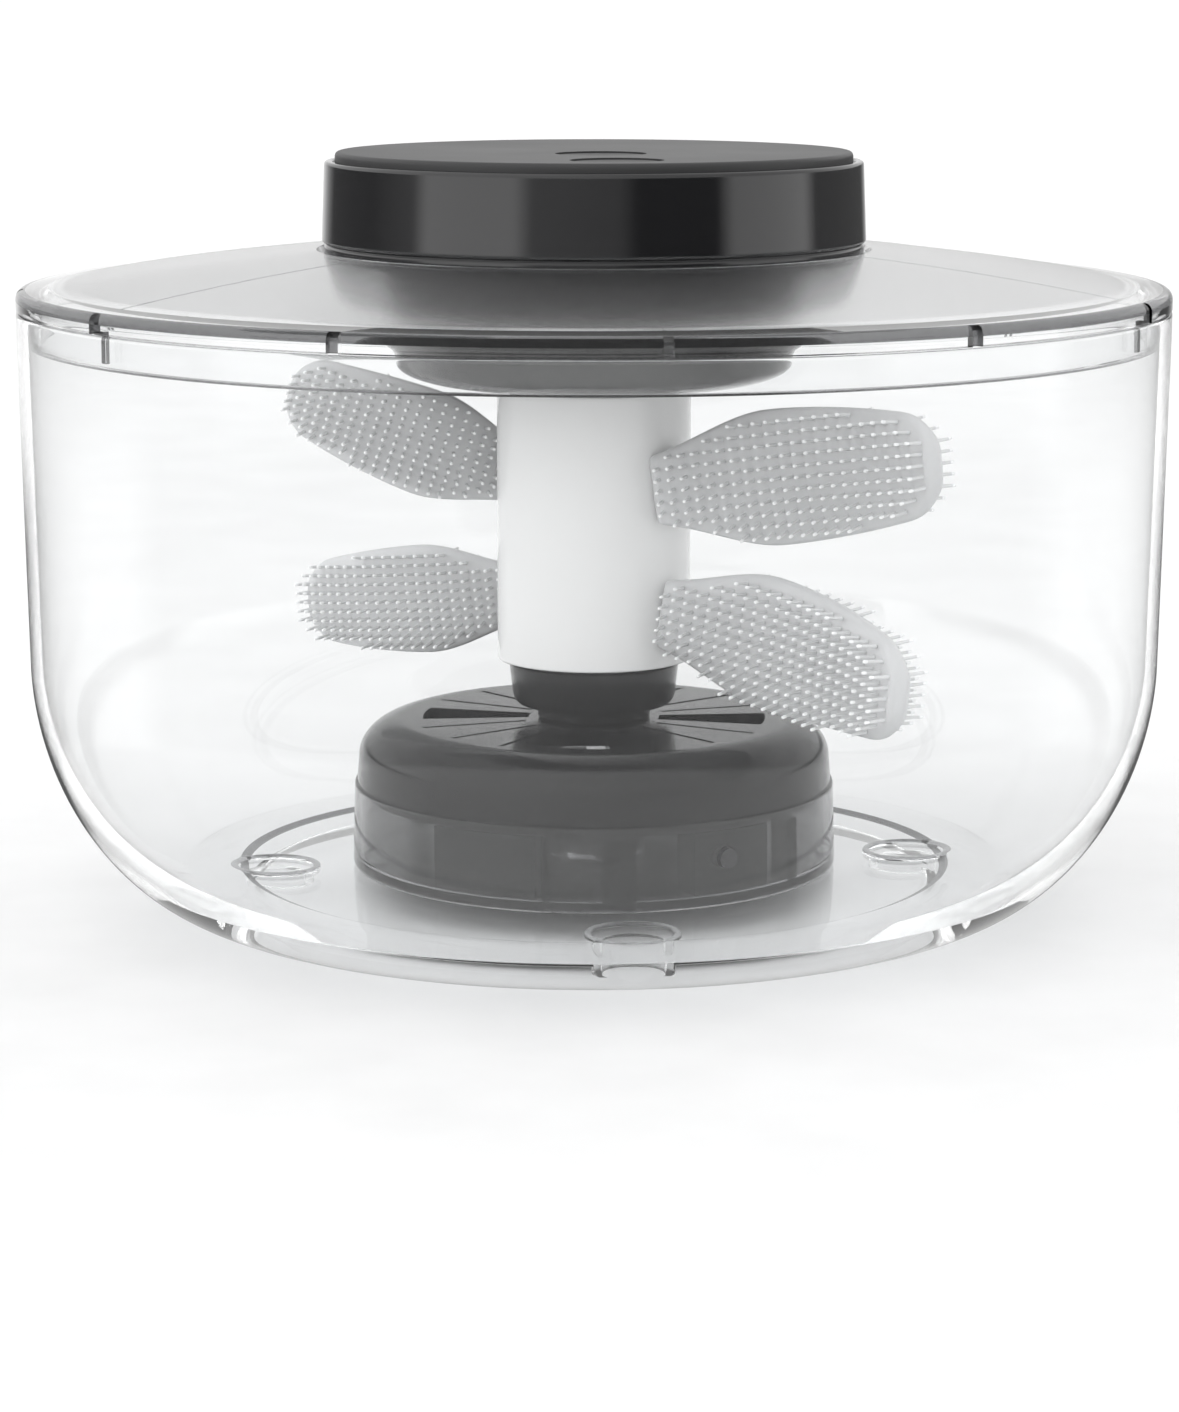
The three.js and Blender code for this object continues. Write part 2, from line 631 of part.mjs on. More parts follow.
function capShell() {
  let body = turned([
    [CAP_INNER_R, SEAT_Z + GAP], [CAP_LIP_R, SEAT_Z + GAP], [CAP_LIP_R, CAP_LIP_TOP],
    [CAP_R, CAP_LIP_TOP + 0.5], [CAP_TOP_R + 0.1, CAP_SHOULDER - 1],
    [CAP_TOP_R - 0.8, CAP_SHOULDER], [CAP_INNER_R, CAP_SHOULDER],
    [CAP_INNER_R, PANEL_UNDER - GAP], [PANEL_SEAT_R, PANEL_UNDER - GAP],
    [PANEL_SEAT_R, PANEL_SEAT_Z], [CAP_INNER_R - 0.4, PANEL_SEAT_Z - 1.2],
  ], ROUND);
  for (const angle of CORNERS) {
    const [x, y] = screwPlace(angle);
    body = body.add(rod(BOSS_R, FLANGE_Z + 2, PANEL_SEAT_Z + 0.4, 12, x, y));
    body = body.subtract(rod(BOSS_HOLE, FLANGE_Z, 154, 12, x, y));
  }
  const wide = FLAP_HALF + 0.7;
  const recess = box([-wide, FLAP_IN - GAP, FLAP_BOTTOM - 0.5], [wide, CAP_R + 3, FLAP_TOP + 0.5]);
  const port = box([-PORT_HALF, 50, PORT_BOTTOM], [PORT_HALF, CAP_R + 3, PORT_TOP]);
  return body.subtract(recess).subtract(port);
}

function topPanel() {
  let body = turned([
    [0, PANEL_UNDER], [PANEL_R, PANEL_UNDER], [PANEL_R, PANEL_TOP - 0.8],
    [PANEL_R - 0.8, PANEL_TOP], [0, PANEL_TOP],
  ], ROUND);
  for (const y of BUTTON_PLACES) {
    const hole = rod(BUTTON_R + GAP, PANEL_UNDER - 1, PANEL_TOP + 1, MEDIUM, 0, y);
    body = body.subtract(hole);
  }
  return body;
}

function button() {
  const bottom = PANEL_UNDER - 2.1;
  const flange = PANEL_UNDER - 1.6;
  return turned([
    [0, bottom], [2, bottom], [2, flange], [BUTTON_R + 1, flange],
    [BUTTON_R + 1, PANEL_UNDER - GAP], [BUTTON_R, PANEL_UNDER - GAP],
    [BUTTON_R, BUTTON_TOP - 0.3], [BUTTON_R - 0.3, BUTTON_TOP], [0, BUTTON_TOP],
  ], MEDIUM);
}

function motorPot() {
  const floor = POT_BOTTOM + POT_WALL;
  const flangeTop = FLANGE_Z + FLANGE_THICK;
  let body = turned([
    [POT_HOLE_R, POT_BOTTOM], [POT_R - 4, POT_BOTTOM], [POT_R, POT_BOTTOM + 4],
    [POT_R, FLANGE_Z], [CAP_INNER_R - GAP, FLANGE_Z],
    [CAP_INNER_R - GAP, flangeTop], [POT_R - POT_WALL, flangeTop],
    [POT_R - POT_WALL, POT_LEDGE_Z], [POT_R - 3.5, POT_LEDGE_Z],
    [POT_R - 3.5, POT_BOTTOM + 4.6], [POT_R - 5, floor],
    [BEARING_R + 2.5, floor], [BEARING_R + 2.5, 126], [BEARING_R + 0.3, 126],
    [BEARING_R + 0.3, floor], [POT_HOLE_R, floor],
  ], ROUND);
  for (const angle of CORNERS) {
    const [x, y] = screwPlace(angle);
    body = body.subtract(rod(BOSS_HOLE, FLANGE_Z - 1, FLANGE_Z + 3, 12, x, y));
  }
  return body;
}

const PLATE_BOTTOM = POT_LEDGE_Z + GAP;     // gear plate
const PLATE_TOP = PLATE_BOTTOM + 2;
const MOTOR_R = 12.2;
const MOTOR_BOTTOM = PLATE_TOP + GAP;
const MOTOR_TOP = 158;
const BOARD_BOTTOM = 157;
const BOARD_TOP = 158.6;
const BOARD_POSTS = [[-12, -44], [6, -44], [-12, -29], [6, -29]];
const SWITCH_HALF = 3;

function gearPlate() {
  const plate = rod(POT_R - 2.5, PLATE_BOTTOM, PLATE_TOP, MEDIUM);
  const shaftHole = rod(SHAFT_R + GAP + 0.1, PLATE_BOTTOM - 1, PLATE_TOP + 1);
  const pinionHole = rod(4, PLATE_BOTTOM - 1, PLATE_TOP + 1, SMALL, AXLE_SPACING, 0);
  return plate.subtract(shaftHole).subtract(pinionHole);
}

function chassisPlate() {
  const bottom = FLANGE_Z + FLANGE_THICK + GAP;
  const top = bottom + 1.5;
  const motorHole = rod(MOTOR_R + 0.6, bottom - 1, top + 1, MEDIUM, AXLE_SPACING, 0);
  let body = rod(49.2, bottom, top, MEDIUM).subtract(motorHole);
  for (const [x, y] of BOARD_POSTS) {
    body = body.add(rod(2, top - 0.5, BOARD_BOTTOM - GAP, 8, x, y));
  }
  return body;
}

function motor() {
  const can = MOTOR_BOTTOM + 0.8;
  const canTop = MOTOR_TOP - 1;
  const body = turned([
    [0, MOTOR_BOTTOM], [3, MOTOR_BOTTOM], [3, can], [MOTOR_R - 1, can],
    [MOTOR_R, can + 1], [MOTOR_R, canTop - 1], [MOTOR_R - 1, canTop],
    [4, canTop], [4, MOTOR_TOP], [0, MOTOR_TOP],
  ], MEDIUM);
  return body.translate(AXLE_SPACING, 0, 0);
}

function controlBoard() {
  let body = roundedPlate(-16, -50, 8, -4, 2, BOARD_BOTTOM, BOARD_TOP);
  for (const y of BUTTON_PLACES) {
    const key = box([-SWITCH_HALF, y - SWITCH_HALF, BOARD_TOP - 0.4],
      [SWITCH_HALF, y + SWITCH_HALF, BOARD_TOP + 0.8]);
    body = body.add(key);
  }
  return body;
}

function usbSocket() {
  const body = box([-4.5, 47.5, 148], [4.5, FLAP_IN - 0.5, 151.3]);
  return body.subtract(box([-4.1, 51, 148.4], [4.1, 60, 150.9]));
}

function portFlap() {
  const slab = box([-FLAP_HALF, FLAP_IN, FLAP_BOTTOM], [FLAP_HALF, CAP_R + 3, FLAP_TOP]);
  return slab.intersect(rod(CAP_R - 0.2, FLAP_BOTTOM - 1, FLAP_TOP + 1, 80));
}

// Outline of an involute gear with a hole.
function gear(teeth, hole, bottom, top, turn) {
  const pitch = MODULE * teeth / 2;
  const pressure = rad(25);
  const base = pitch * Math.cos(pressure);
  const involute = (angle) => Math.tan(angle) - angle;
  const halfAtPitch = Math.PI / (2 * teeth) - BACKLASH / (2 * pitch);
  const radii = [pitch - 1.2 * MODULE, pitch, pitch + 0.9 * MODULE];
  const halfAt = (r) => {
    const reach = Math.acos(Math.min(1, base / Math.max(r, base)));
    return halfAtPitch + involute(pressure) - involute(reach);
  };
  const shape = new THREE.Shape();
  const outline = [];
  for (let i = 0; i < teeth; i += 1) {
    const middle = turn + (2 * Math.PI * i) / teeth;
    for (const r of radii) outline.push([r, middle - halfAt(r)]);
    for (const r of radii.toReversed()) outline.push([r, middle + halfAt(r)]);
  }
  shape.setFromPoints(outline.map(([r, a]) => new THREE.Vector2(
    r * Math.cos(a), r * Math.sin(a),
  )));
  const body = extruded(shape, bottom, top);
  return hole > 0 ? body.subtract(rod(hole, bottom - 1, top + 1)) : body;
}

function outputShaft() {
  const round = rod(SHAFT_R, HUB_TOP - 1.4, PLATE_TOP - GAP);
  return round.add(hexRod(HEX_FLATS, HUB_BOTTOM + 2.2, HUB_TOP));
}

function motorPinion() {
  const turn = Math.PI / PINION_TEETH;
  const teeth = gear(PINION_TEETH, 0, GEAR_Z - 0.3, GEAR_Z + GEAR_HEIGHT, turn);
  const shaft = rod(1, GEAR_Z + 1, PLATE_TOP);
  return teeth.add(shaft).translate(AXLE_SPACING, 0, 0);
}

// ---------- put together ----------
add('bowl', bowl(), CLEAR);
add('trap_tray', trapTray(), SMOKY);
add('trap_dome', trapDome(), SMOKY);
BALLAST_PLACES.forEach((angle, i) => {
  const bottom = TRAP_BOTTOM + TRAP_WALL + GAP;
  const block = sector(BALLAST_IN, BLOCK_OUT, 14, bottom, BLOCK_TOP, angle);
  add(`ballast_block_${i + 1}`, block, STEEL);
});
LATCH_PLACES.forEach((angle, i) => {
  add(`latch_block_${i + 1}`, latchBlock(angle), DARK_PLASTIC);
  add(`latch_button_${i + 1}`, latchRod(LATCH_BUTTON_R, 45.2, 54.2, angle), DARK_PLASTIC);
});
add('pivot_cup', pivotCup(), SMOKY);
add('pivot_bush', ring(PIN_R + GAP, BUSH_R, CUP_TOP + GAP, BUSH_TOP), WHITE_ACETAL);
add('pivot_pin', pivotPin(), STEEL);
add('pivot_screw', screw(2.8, 1.6, 1.4, 8), STEEL).position.z = PIVOT_SCREW_Z;

add('lid_shell', lidShell(), CLEAR);
add('motor_dish', motorDish(), SMOKY);
add('dish_bearing', ring(7.5, DISH_HOLE_R - GAP, DISH_BOTTOM, DISH_SEAL_Z), WHITE_ACETAL);
add('shaft_seal', ring(7.6, 10.4, DISH_SEAL_Z + GAP, DISH_SEAL_TOP), RUBBER);

add('column_tube', columnTube(), WHITE_GLOSS);
add('drive_hub', driveHub(), WHITE_ACETAL);
add('column_foot', columnFoot(), WHITE_ACETAL);
BRUSHES.forEach((brush, i) => {
  add(`brush_arm_${i + 1}`, brushArm(brush), WHITE_ACETAL);
  add(`bristle_pad_${i + 1}`, bristlePad(brush), SILICONE);
});

add('cap_shell', capShell(), BLACK_GLOSS);
add('top_panel', topPanel(), BLACK_SATIN);
add('power_button', button(), BLACK_SATIN).position.y = BUTTON_PLACES[0];
add('mode_button', button(), BLACK_SATIN).position.y = BUTTON_PLACES[1];
add('motor_pot', motorPot(), BLACK_SATIN);
add('cap_seal', ring(43, 46, SEAT_Z + GAP + 0.1, FLANGE_Z - GAP), RUBBER);
add('output_bearing',
  ring(SHAFT_R + GAP + 0.05, BEARING_R, POT_BOTTOM + POT_WALL + GAP, 125.8), STEEL);
add('gear_plate', gearPlate(), DARK_PLASTIC);
add('chassis_plate', chassisPlate(), DARK_PLASTIC);
add('motor', motor(), STEEL);
add('battery_pack', roundedPlate(-38, -25, -4, 25, 3, 148, 155.8), POUCH);
add('control_board', controlBoard(), BOARD);
add('usb_socket', usbSocket(), STEEL);
add('port_flap', portFlap(), RUBBER);
for (let i = 0; i < CORNERS.length; i += 1) {
  const piece = add(`case_screw_${i + 1}`, screw(2.6, 0.9, 1.3, 9), STEEL);
  piece.position.set(...screwPlace(CORNERS[i]), CASE_SCREW_Z);
}
add('output_gear', gear(GEAR_TEETH, SHAFT_R + GAP, GEAR_Z, GEAR_Z + GEAR_HEIGHT - 0.2, 0),
  WHITE_ACETAL);
add('output_shaft', outputShaft(), STEEL);
add('motor_pinion', motorPinion(), WHITE_ACETAL);

export default cleaner;
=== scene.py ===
"""Looks of the brush cleaner: clear bowl and lid, black motor unit, white column with
four bristle brushes, smoky grit trap. Sizes in millimetres are turned into metres by MM."""
import json
import math

import bmesh
import bpy
from mathutils import Matrix, Vector


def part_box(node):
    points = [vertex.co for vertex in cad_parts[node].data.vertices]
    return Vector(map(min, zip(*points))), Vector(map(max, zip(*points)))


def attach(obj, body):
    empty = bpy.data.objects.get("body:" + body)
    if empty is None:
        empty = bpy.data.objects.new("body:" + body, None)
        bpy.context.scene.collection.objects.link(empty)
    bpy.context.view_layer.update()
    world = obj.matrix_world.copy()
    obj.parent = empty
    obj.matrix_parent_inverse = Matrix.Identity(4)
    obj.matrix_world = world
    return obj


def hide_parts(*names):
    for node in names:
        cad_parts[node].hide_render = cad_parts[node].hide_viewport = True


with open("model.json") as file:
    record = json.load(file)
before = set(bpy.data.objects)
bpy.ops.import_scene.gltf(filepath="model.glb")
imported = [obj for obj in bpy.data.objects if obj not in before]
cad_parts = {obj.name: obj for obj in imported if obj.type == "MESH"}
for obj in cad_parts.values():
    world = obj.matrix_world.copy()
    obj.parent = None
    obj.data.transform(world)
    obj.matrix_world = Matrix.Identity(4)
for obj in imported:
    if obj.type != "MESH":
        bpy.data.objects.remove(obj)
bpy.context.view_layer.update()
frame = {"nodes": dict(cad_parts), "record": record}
MM = 0.001
GAP = 0.3


def rad(degrees):
    return math.radians(degrees)


def size_of(node):
    """Outer radius, lowest and highest point of a round CAD node, in millimetres."""
    low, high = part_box(node)
    return high[0] / MM, low[2] / MM, high[2] / MM


BOWL_R, _, BOWL_TOP = size_of("bowl")
_, SKIRT_BOTTOM, _ = size_of("lid_shell")
CAP_R, CAP_BOTTOM, CAP_SHOULDER = size_of("cap_shell")
PANEL_R, PANEL_UNDER, PANEL_TOP = size_of("top_panel")
TUBE_R, TUBE_BOTTOM, TUBE_TOP = size_of("column_tube")
CUP_R, CUP_BOTTOM, CUP_TOP = size_of("pivot_cup")
TRAP_R, TRAP_BOTTOM, TRAY_TOP = size_of("trap_tray")
_, _, TRAP_TOP = size_of("trap_dome")


# ---------- camera, floor and light ----------
def make_camera():
    data = bpy.data.cameras.new("camera")
    data.lens = 102.1
    data.sensor_width = 36
    data.clip_end = 100
    camera = bpy.data.objects.new("camera", data)
    bpy.context.collection.objects.link(camera)
    azimuth, distance, height, pitch, yaw = -6.5, 0.875, 0.2066, 10.6, 0.064
    camera.location = (
        distance * math.sin(rad(azimuth)), -distance * math.cos(rad(azimuth)), height,
    )
    camera.rotation_euler = (rad(90 - pitch), 0, rad(azimuth + yaw))
    bpy.context.scene.camera = camera


def make_floor():
    half = 30
    just_under = -0.0002
    mesh = bpy.data.meshes.new("floor")
    mesh.from_pydata(
        [(-half, -half, 0), (half, -half, 0), (half, half, 0), (-half, half, 0)], [],
        [(0, 1, 2, 3)],
    )
    floor = bpy.data.objects.new("floor", mesh)
    bpy.context.collection.objects.link(floor)
    floor.location.z = just_under
    floor.visible_glossy = False
    mesh.materials.append(paint("floor_white", (0.93, 0.93, 0.93), 0.6, grain=(40, 0.01)))


# The studio round the object: brightness by direction, in degrees from the front towards
# +X, for all of it and then for bands between two heights (sine of the elevation).
STUDIO_ALL = [
    (-180, 0.85), (-150, 0.95), (-120, 1.4), (-60, 1.6), (-10, 1.25), (30, 0.92), (80, 1.1),
    (130, 1.15), (150, 0.95), (180, 0.85),
]
STUDIO_BANDS = [
    (-1.1, -0.30, [
        (-180, 0.55), (-120, 0.75), (-60, 0.9), (0, 0.7), (60, 0.9), (120, 0.75), (180, 0.55),
    ]),
    (-0.30, -0.12, [
        (-180, 0.12), (-150, 0.15), (-125, 1.1), (-110, 1.3), (-100, 0.5), (-60, 0.2),
        (0, 0.14), (60, 0.15), (85, 0.4), (100, 1.2), (120, 1.0), (150, 0.15), (180, 0.12),
    ]),
    (-0.12, 0.09, [
        (-180, 1.0), (-168, 0.9), (-150, 0.12), (-112, 0.15), (-88, 0.5), (-80, 1.9),
        (-40, 1.9), (-32, 0.6), (4, 0.45), (12, 0.03), (46, 0.03), (54, 1.5), (92, 1.7),
        (100, 0.3), (150, 0.12), (168, 0.9), (180, 1.0),
    ]),
]
STUDIO_BRIGHTEST = 2.0
# Past the end of the floor the picture shows a plain backdrop instead of the studio.
BACKDROP = 1.0


def studio_ramp(nodes, links, share, levels):
    ramp = nodes.new("ShaderNodeValToRGB")
    stops = ramp.color_ramp.elements
    while len(stops) < len(levels):
        stops.new(0.5)
    for stop, (angle, level) in zip(stops, levels):
        stop.position = (angle + 180) / 360
        stop.color = (*[level / STUDIO_BRIGHTEST] * 3, 1)
    links.new(share, ramp.inputs["Fac"])
    return ramp.outputs["Color"]


def studio_math(nodes, links, kind, first, second):
    node = nodes.new("ShaderNodeMath")
    node.operation = kind
    for socket, value in zip(node.inputs, (first, second)):
        if isinstance(value, (int, float)):
            socket.default_value = value
        else:
            links.new(value, socket)
    return node.outputs[0]


def fade(nodes, links, value, start, end):
    step = nodes.new("ShaderNodeMapRange")
    step.interpolation_type = "SMOOTHSTEP"
    step.inputs["From Min"].default_value = start
    step.inputs["From Max"].default_value = end
    links.new(value, step.inputs["Value"])
    return step.outputs["Result"]


def make_light():
    world = bpy.data.worlds.new("studio")
    world.use_nodes = True
    nodes, links = world.node_tree.nodes, world.node_tree.links
    direction = nodes.new("ShaderNodeSeparateXYZ")
    links.new(nodes.new("ShaderNodeTexCoord").outputs["Generated"], direction.inputs[0])
    forward = studio_math(nodes, links, "MULTIPLY", direction.outputs["Y"], -1)
    azimuth = studio_math(nodes, links, "ARCTAN2", direction.outputs["X"], forward)
    turns = studio_math(nodes, links, "DIVIDE", azimuth, 2 * math.pi)
    share = studio_math(nodes, links, "ADD", turns, 0.5)
    color = studio_ramp(nodes, links, share, STUDIO_ALL)
    soft = 0.03
    for low, high, levels in STUDIO_BANDS:
        rise = fade(nodes, links, direction.outputs["Z"], low - soft, low + soft)
        fall = fade(nodes, links, direction.outputs["Z"], high + soft, high - soft)
        mix = nodes.new("ShaderNodeMix")
        mix.data_type = "RGBA"
        links.new(studio_math(nodes, links, "MULTIPLY", rise, fall), mix.inputs["Factor"])
        links.new(color, mix.inputs["A"])
        links.new(studio_ramp(nodes, links, share, levels), mix.inputs["B"])
        color = mix.outputs["Result"]
    backdrop = nodes.new("ShaderNodeMix")
    backdrop.data_type = "RGBA"
    backdrop.inputs["B"].default_value = (*[BACKDROP / STUDIO_BRIGHTEST] * 3, 1)
    path = nodes.new("ShaderNodeLightPath")
    links.new(path.outputs["Is Camera Ray"], backdrop.inputs["Factor"])
    links.new(color, backdrop.inputs["A"])
    links.new(backdrop.outputs["Result"], nodes["Background"].inputs["Color"])
    nodes["Background"].inputs["Strength"].default_value = STUDIO_BRIGHTEST
    bpy.context.scene.world = world


# ---------- materials ----------
def new_material(name):
    material = bpy.data.materials.new(name)
    material.use_nodes = True
    nodes = material.node_tree.nodes
    return material, nodes, material.node_tree.links, nodes["Principled BSDF"]


def object_noise(nodes, links, scale, detail=3):
    """A noise value over the piece's own coordinates."""
    place = nodes.new("ShaderNodeTexCoord")
    noise = nodes.new("ShaderNodeTexNoise")
    noise.inputs["Scale"].default_value = scale
    noise.inputs["Detail"].default_value = detail
    links.new(place.outputs["Object"], noise.inputs["Vector"])
    return noise.outputs["Fac"]


def spread(nodes, links, value, low, high):
    """The value, which runs from 0 to 1, spread over a range."""
    ramp = nodes.new("ShaderNodeMapRange")
    ramp.inputs["To Min"].default_value = low
    ramp.inputs["To Max"].default_value = high
    links.new(value, ramp.inputs["Value"])
    return ramp.outputs["Result"]


def add_bump(nodes, links, shader, value, strength, distance):
    bump = nodes.new("ShaderNodeBump")
    bump.inputs["Strength"].default_value = strength
    bump.inputs["Distance"].default_value = distance
    links.new(value, bump.inputs["Height"])
    links.new(bump.outputs["Normal"], shader.inputs["Normal"])


def tinted(nodes, links, value, color, change):
    """A colour that wavers by a share around its middle."""
    mix = nodes.new("ShaderNodeMix")
    mix.data_type = "RGBA"
    mix.inputs["A"].default_value = (*[c * (1 - change) for c in color], 1)
    mix.inputs["B"].default_value = (*[min(1, c * (1 + change)) for c in color], 1)
    links.new(value, mix.inputs["Factor"])
    return mix.outputs["Result"]


def paint(name, color, roughness, metallic=0.0, grain=(900, 0.05), coat=0.0,
          specular=0.5, change=0.06):
    """A moulded or metal surface with fine grain, uneven gloss and slight colour drift."""
    material, nodes, links, shader = new_material(name)
    scale, bump = grain
    drift = object_noise(nodes, links, 25)
    fine = object_noise(nodes, links, scale, 2)
    links.new(tinted(nodes, links, drift, color, change), shader.inputs["Base Color"])
    gloss = spread(nodes, links, drift, roughness * 0.85, min(1, roughness * 1.15))
    links.new(gloss, shader.inputs["Roughness"])
    add_bump(nodes, links, shader, fine, bump, 0.0002)
    shader.inputs["Metallic"].default_value = metallic
    shader.inputs["Specular IOR Level"].default_value = specular
    shader.inputs["Coat Weight"].default_value = coat
    shader.inputs["Coat Roughness"].default_value = 0.05
    return material


def clear_plastic(name, color, roughness, ior, lamp_tint, coat=0.0, through=1.0):
    """See-through plastic. Lamps reach what is behind it through a plain tint."""
    material, nodes, links, shader = new_material(name)
    drift = object_noise(nodes, links, 12)
    links.new(tinted(nodes, links, drift, color, 0.01), shader.inputs["Base Color"])
    gloss = spread(nodes, links, drift, roughness * 0.8, roughness * 1.2)
    links.new(gloss, shader.inputs["Roughness"])
    shader.inputs["Transmission Weight"].default_value = through
    shader.inputs["IOR"].default_value = ior
    shader.inputs["Coat Weight"].default_value = coat
    shader.inputs["Coat Roughness"].default_value = 0.01
    path = nodes.new("ShaderNodeLightPath")
    lamp = nodes.new("ShaderNodeBsdfTransparent")
    lamp.inputs["Color"].default_value = (*lamp_tint, 1)
    mix = nodes.new("ShaderNodeMixShader")
    links.new(path.outputs["Is Shadow Ray"], mix.inputs["Fac"])
    links.new(shader.outputs["BSDF"], mix.inputs[1])
    links.new(lamp.outputs["BSDF"], mix.inputs[2])
    links.new(mix.outputs["Shader"], nodes["Material Output"].inputs["Surface"])
    return material


def smoky_plastic(name, color, roughness, through, coat=0.5):
    """Dark translucent plastic: part solid, part see-through."""
    material, nodes, links, shader = new_material(name)
    drift = object_noise(nodes, links, 30)
    links.new(tinted(nodes, links, drift, color, 0.06), shader.inputs["Base Color"])
    gloss = spread(nodes, links, drift, roughness * 0.8, roughness * 1.2)
    links.new(gloss, shader.inputs["Roughness"])
    shader.inputs["Transmission Weight"].default_value = through
    shader.inputs["IOR"].default_value = 1.3
    shader.inputs["Coat Weight"].default_value = coat
    shader.inputs["Coat Roughness"].default_value = 0.12
    return material


def silicone_material(name, color):
    material, nodes, links, shader = new_material(name)
    drift = object_noise(nodes, links, 60)
    fine = object_noise(nodes, links, 1500, 2)
    links.new(tinted(nodes, links, drift, color, 0.05), shader.inputs["Base Color"])
    links.new(spread(nodes, links, drift, 0.4, 0.55), shader.inputs["Roughness"])
    add_bump(nodes, links, shader, fine, 0.08, 0.0002)
    shader.inputs["Subsurface Weight"].default_value = 0.25
    shader.inputs["Subsurface Radius"].default_value = (0.002, 0.002, 0.002)
    shader.inputs["Subsurface Scale"].default_value = 1
    return material


# ---------- mesh helpers ----------
def make_object(name, verts, faces, material, sharp=35):
    mesh = bpy.data.meshes.new(name)
    mesh.from_pydata([tuple(v) for v in verts], [], faces)
    return dress(name, mesh, material, sharp)


def dress(name, mesh, material, sharp=35):
    """An object of the mesh, faces outward, smooth but for its sharp edges."""
    cleaned = bmesh.new()
    cleaned.from_mesh(mesh)
    bmesh.ops.remove_doubles(cleaned, verts=cleaned.verts, dist=2e-7)
    bmesh.ops.recalc_face_normals(cleaned, faces=cleaned.faces)
    cleaned.to_mesh(mesh)
    cleaned.free()
    for polygon in mesh.polygons:
        polygon.use_smooth = True
    mesh.set_sharp_from_angle(angle=rad(sharp))
    if material is not None:
        mesh.materials.clear()
        mesh.materials.append(material)
    piece = bpy.data.objects.new(name, mesh)
    bpy.context.collection.objects.link(piece)
    return piece


def rounded(points, steps=4):
    """A profile in which each point with a third number has its corner rounded off.

    A round takes a little under half of a side at most, and where there is room a short
    straight piece is left beside it, so that the flats stay flat when shaded smooth.
    """
    out = []
    most, hold = 0.48, 0.2
    count = len(points)
    for i, point in enumerate(points):
        if len(point) == 2:
            out.append(tuple(point))
            continue
        here = Vector(point[:2])
        before = Vector(points[i - 1][:2]) - here
        after = Vector(points[(i + 1) % count][:2]) - here
        cut = min(point[2], most * before.length, most * after.length)
        start = here + before.normalized() * cut
        end = here + after.normalized() * cut
        if before.length > 2 * cut + 4 * hold:
            spot = start + before.normalized() * hold
            out.append((spot.x, spot.y))
        for k in range(steps + 1):
            t = k / steps
            spot = (1 - t) ** 2 * start + 2 * t * (1 - t) * here + t ** 2 * end
            out.append((spot.x, spot.y))
        if after.length > 2 * cut + 4 * hold:
            spot = end + after.normalized() * hold
            out.append((spot.x, spot.y))
    return out


def superellipse(start, end, power, steps):
    """A rounded corner that leaves start level and arrives at end upright."""
    points = []
    for i in range(steps + 1):
        turn = math.pi / 2 * (1 - i / steps)
        across = max(0.0, math.cos(turn)) ** (2 / power)
        down = math.sin(turn) ** (2 / power)
        points.append((
            start[0] + (end[0] - start[0]) * across, end[1] + (start[1] - end[1]) * down,
        ))
    return points


def lathe(name, profile, material, segments=192, place=(0, 0), sharp=35):
    """A closed profile, or one that starts and ends on the axis, turned about Z."""
    verts, rings = [], []
    for r, z in profile:
        if r < 1e-6:
            rings.append([len(verts)])
            verts.append((place[0] * MM, place[1] * MM, z * MM))
            continue
        rings.append(list(range(len(verts), len(verts) + segments)))
        for s in range(segments):
            a = 2 * math.pi * s / segments
            verts.append((
                (place[0] + r * math.cos(a)) * MM, (place[1] + r * math.sin(a)) * MM, z * MM,
            ))
    faces = []
    closed = profile[0][0] > 1e-6
    pairs = list(zip(rings, rings[1:])) + ([(rings[-1], rings[0])] if closed else [])
    for low, high in pairs:
        for s in range(segments):
            t = (s + 1) % segments
            if len(low) == 1 and len(high) == 1:
                continue
            if len(low) == 1:
                faces.append((low[0], high[t], high[s]))
            elif len(high) == 1:
                faces.append((low[s], low[t], high[0]))
            else:
                faces.append((low[s], low[t], high[t], high[s]))
    return make_object(name, verts, faces, material, sharp)


def box_mesh(name, low, high, angle=0.0):
    """A cutter box from two corners in millimetres, turned about Z."""
    verts = [
        (x * MM, y * MM, z * MM)
        for z in (low[2], high[2]) for y in (low[1], high[1]) for x in (low[0], high[0])
    ]
    faces = [(0, 2, 3, 1), (4, 5, 7, 6), (0, 1, 5, 4), (2, 6, 7, 3), (0, 4, 6, 2), (1, 3, 7, 5)]
    piece = make_object(name, verts, faces, None)
    piece.data.transform(Matrix.Rotation(rad(angle), 4, "Z"))
    return piece


def sector_mesh(name, inner, outer, half, bottom, top, angle, steps=8):
    """A cutter in the shape of a piece of a ring."""
    arc = [angle - half + 2 * half * i / steps for i in range(steps + 1)]
    outline = [(outer, a) for a in arc] + [(inner, a) for a in reversed(arc)]
    verts = [
        (r * math.cos(rad(a)) * MM, r * math.sin(rad(a)) * MM, z * MM)
        for z in (bottom, top) for r, a in outline
    ]
    count = len(outline)
    faces = [tuple(range(count)), tuple(range(count, 2 * count))]
    faces += [
        (i, (i + 1) % count, count + (i + 1) % count, count + i) for i in range(count)
    ]
    return make_object(name, verts, faces, None)


def joined(pieces):
    """One mesh object of several, which are used up."""
    joint = bmesh.new()
    for piece in pieces:
        joint.from_mesh(piece.data)
        bpy.data.objects.remove(piece)
    mesh = bpy.data.meshes.new("joined")
    joint.to_mesh(mesh)
    joint.free()
    tool = bpy.data.objects.new("joined", mesh)
    bpy.context.collection.objects.link(tool)
    return tool


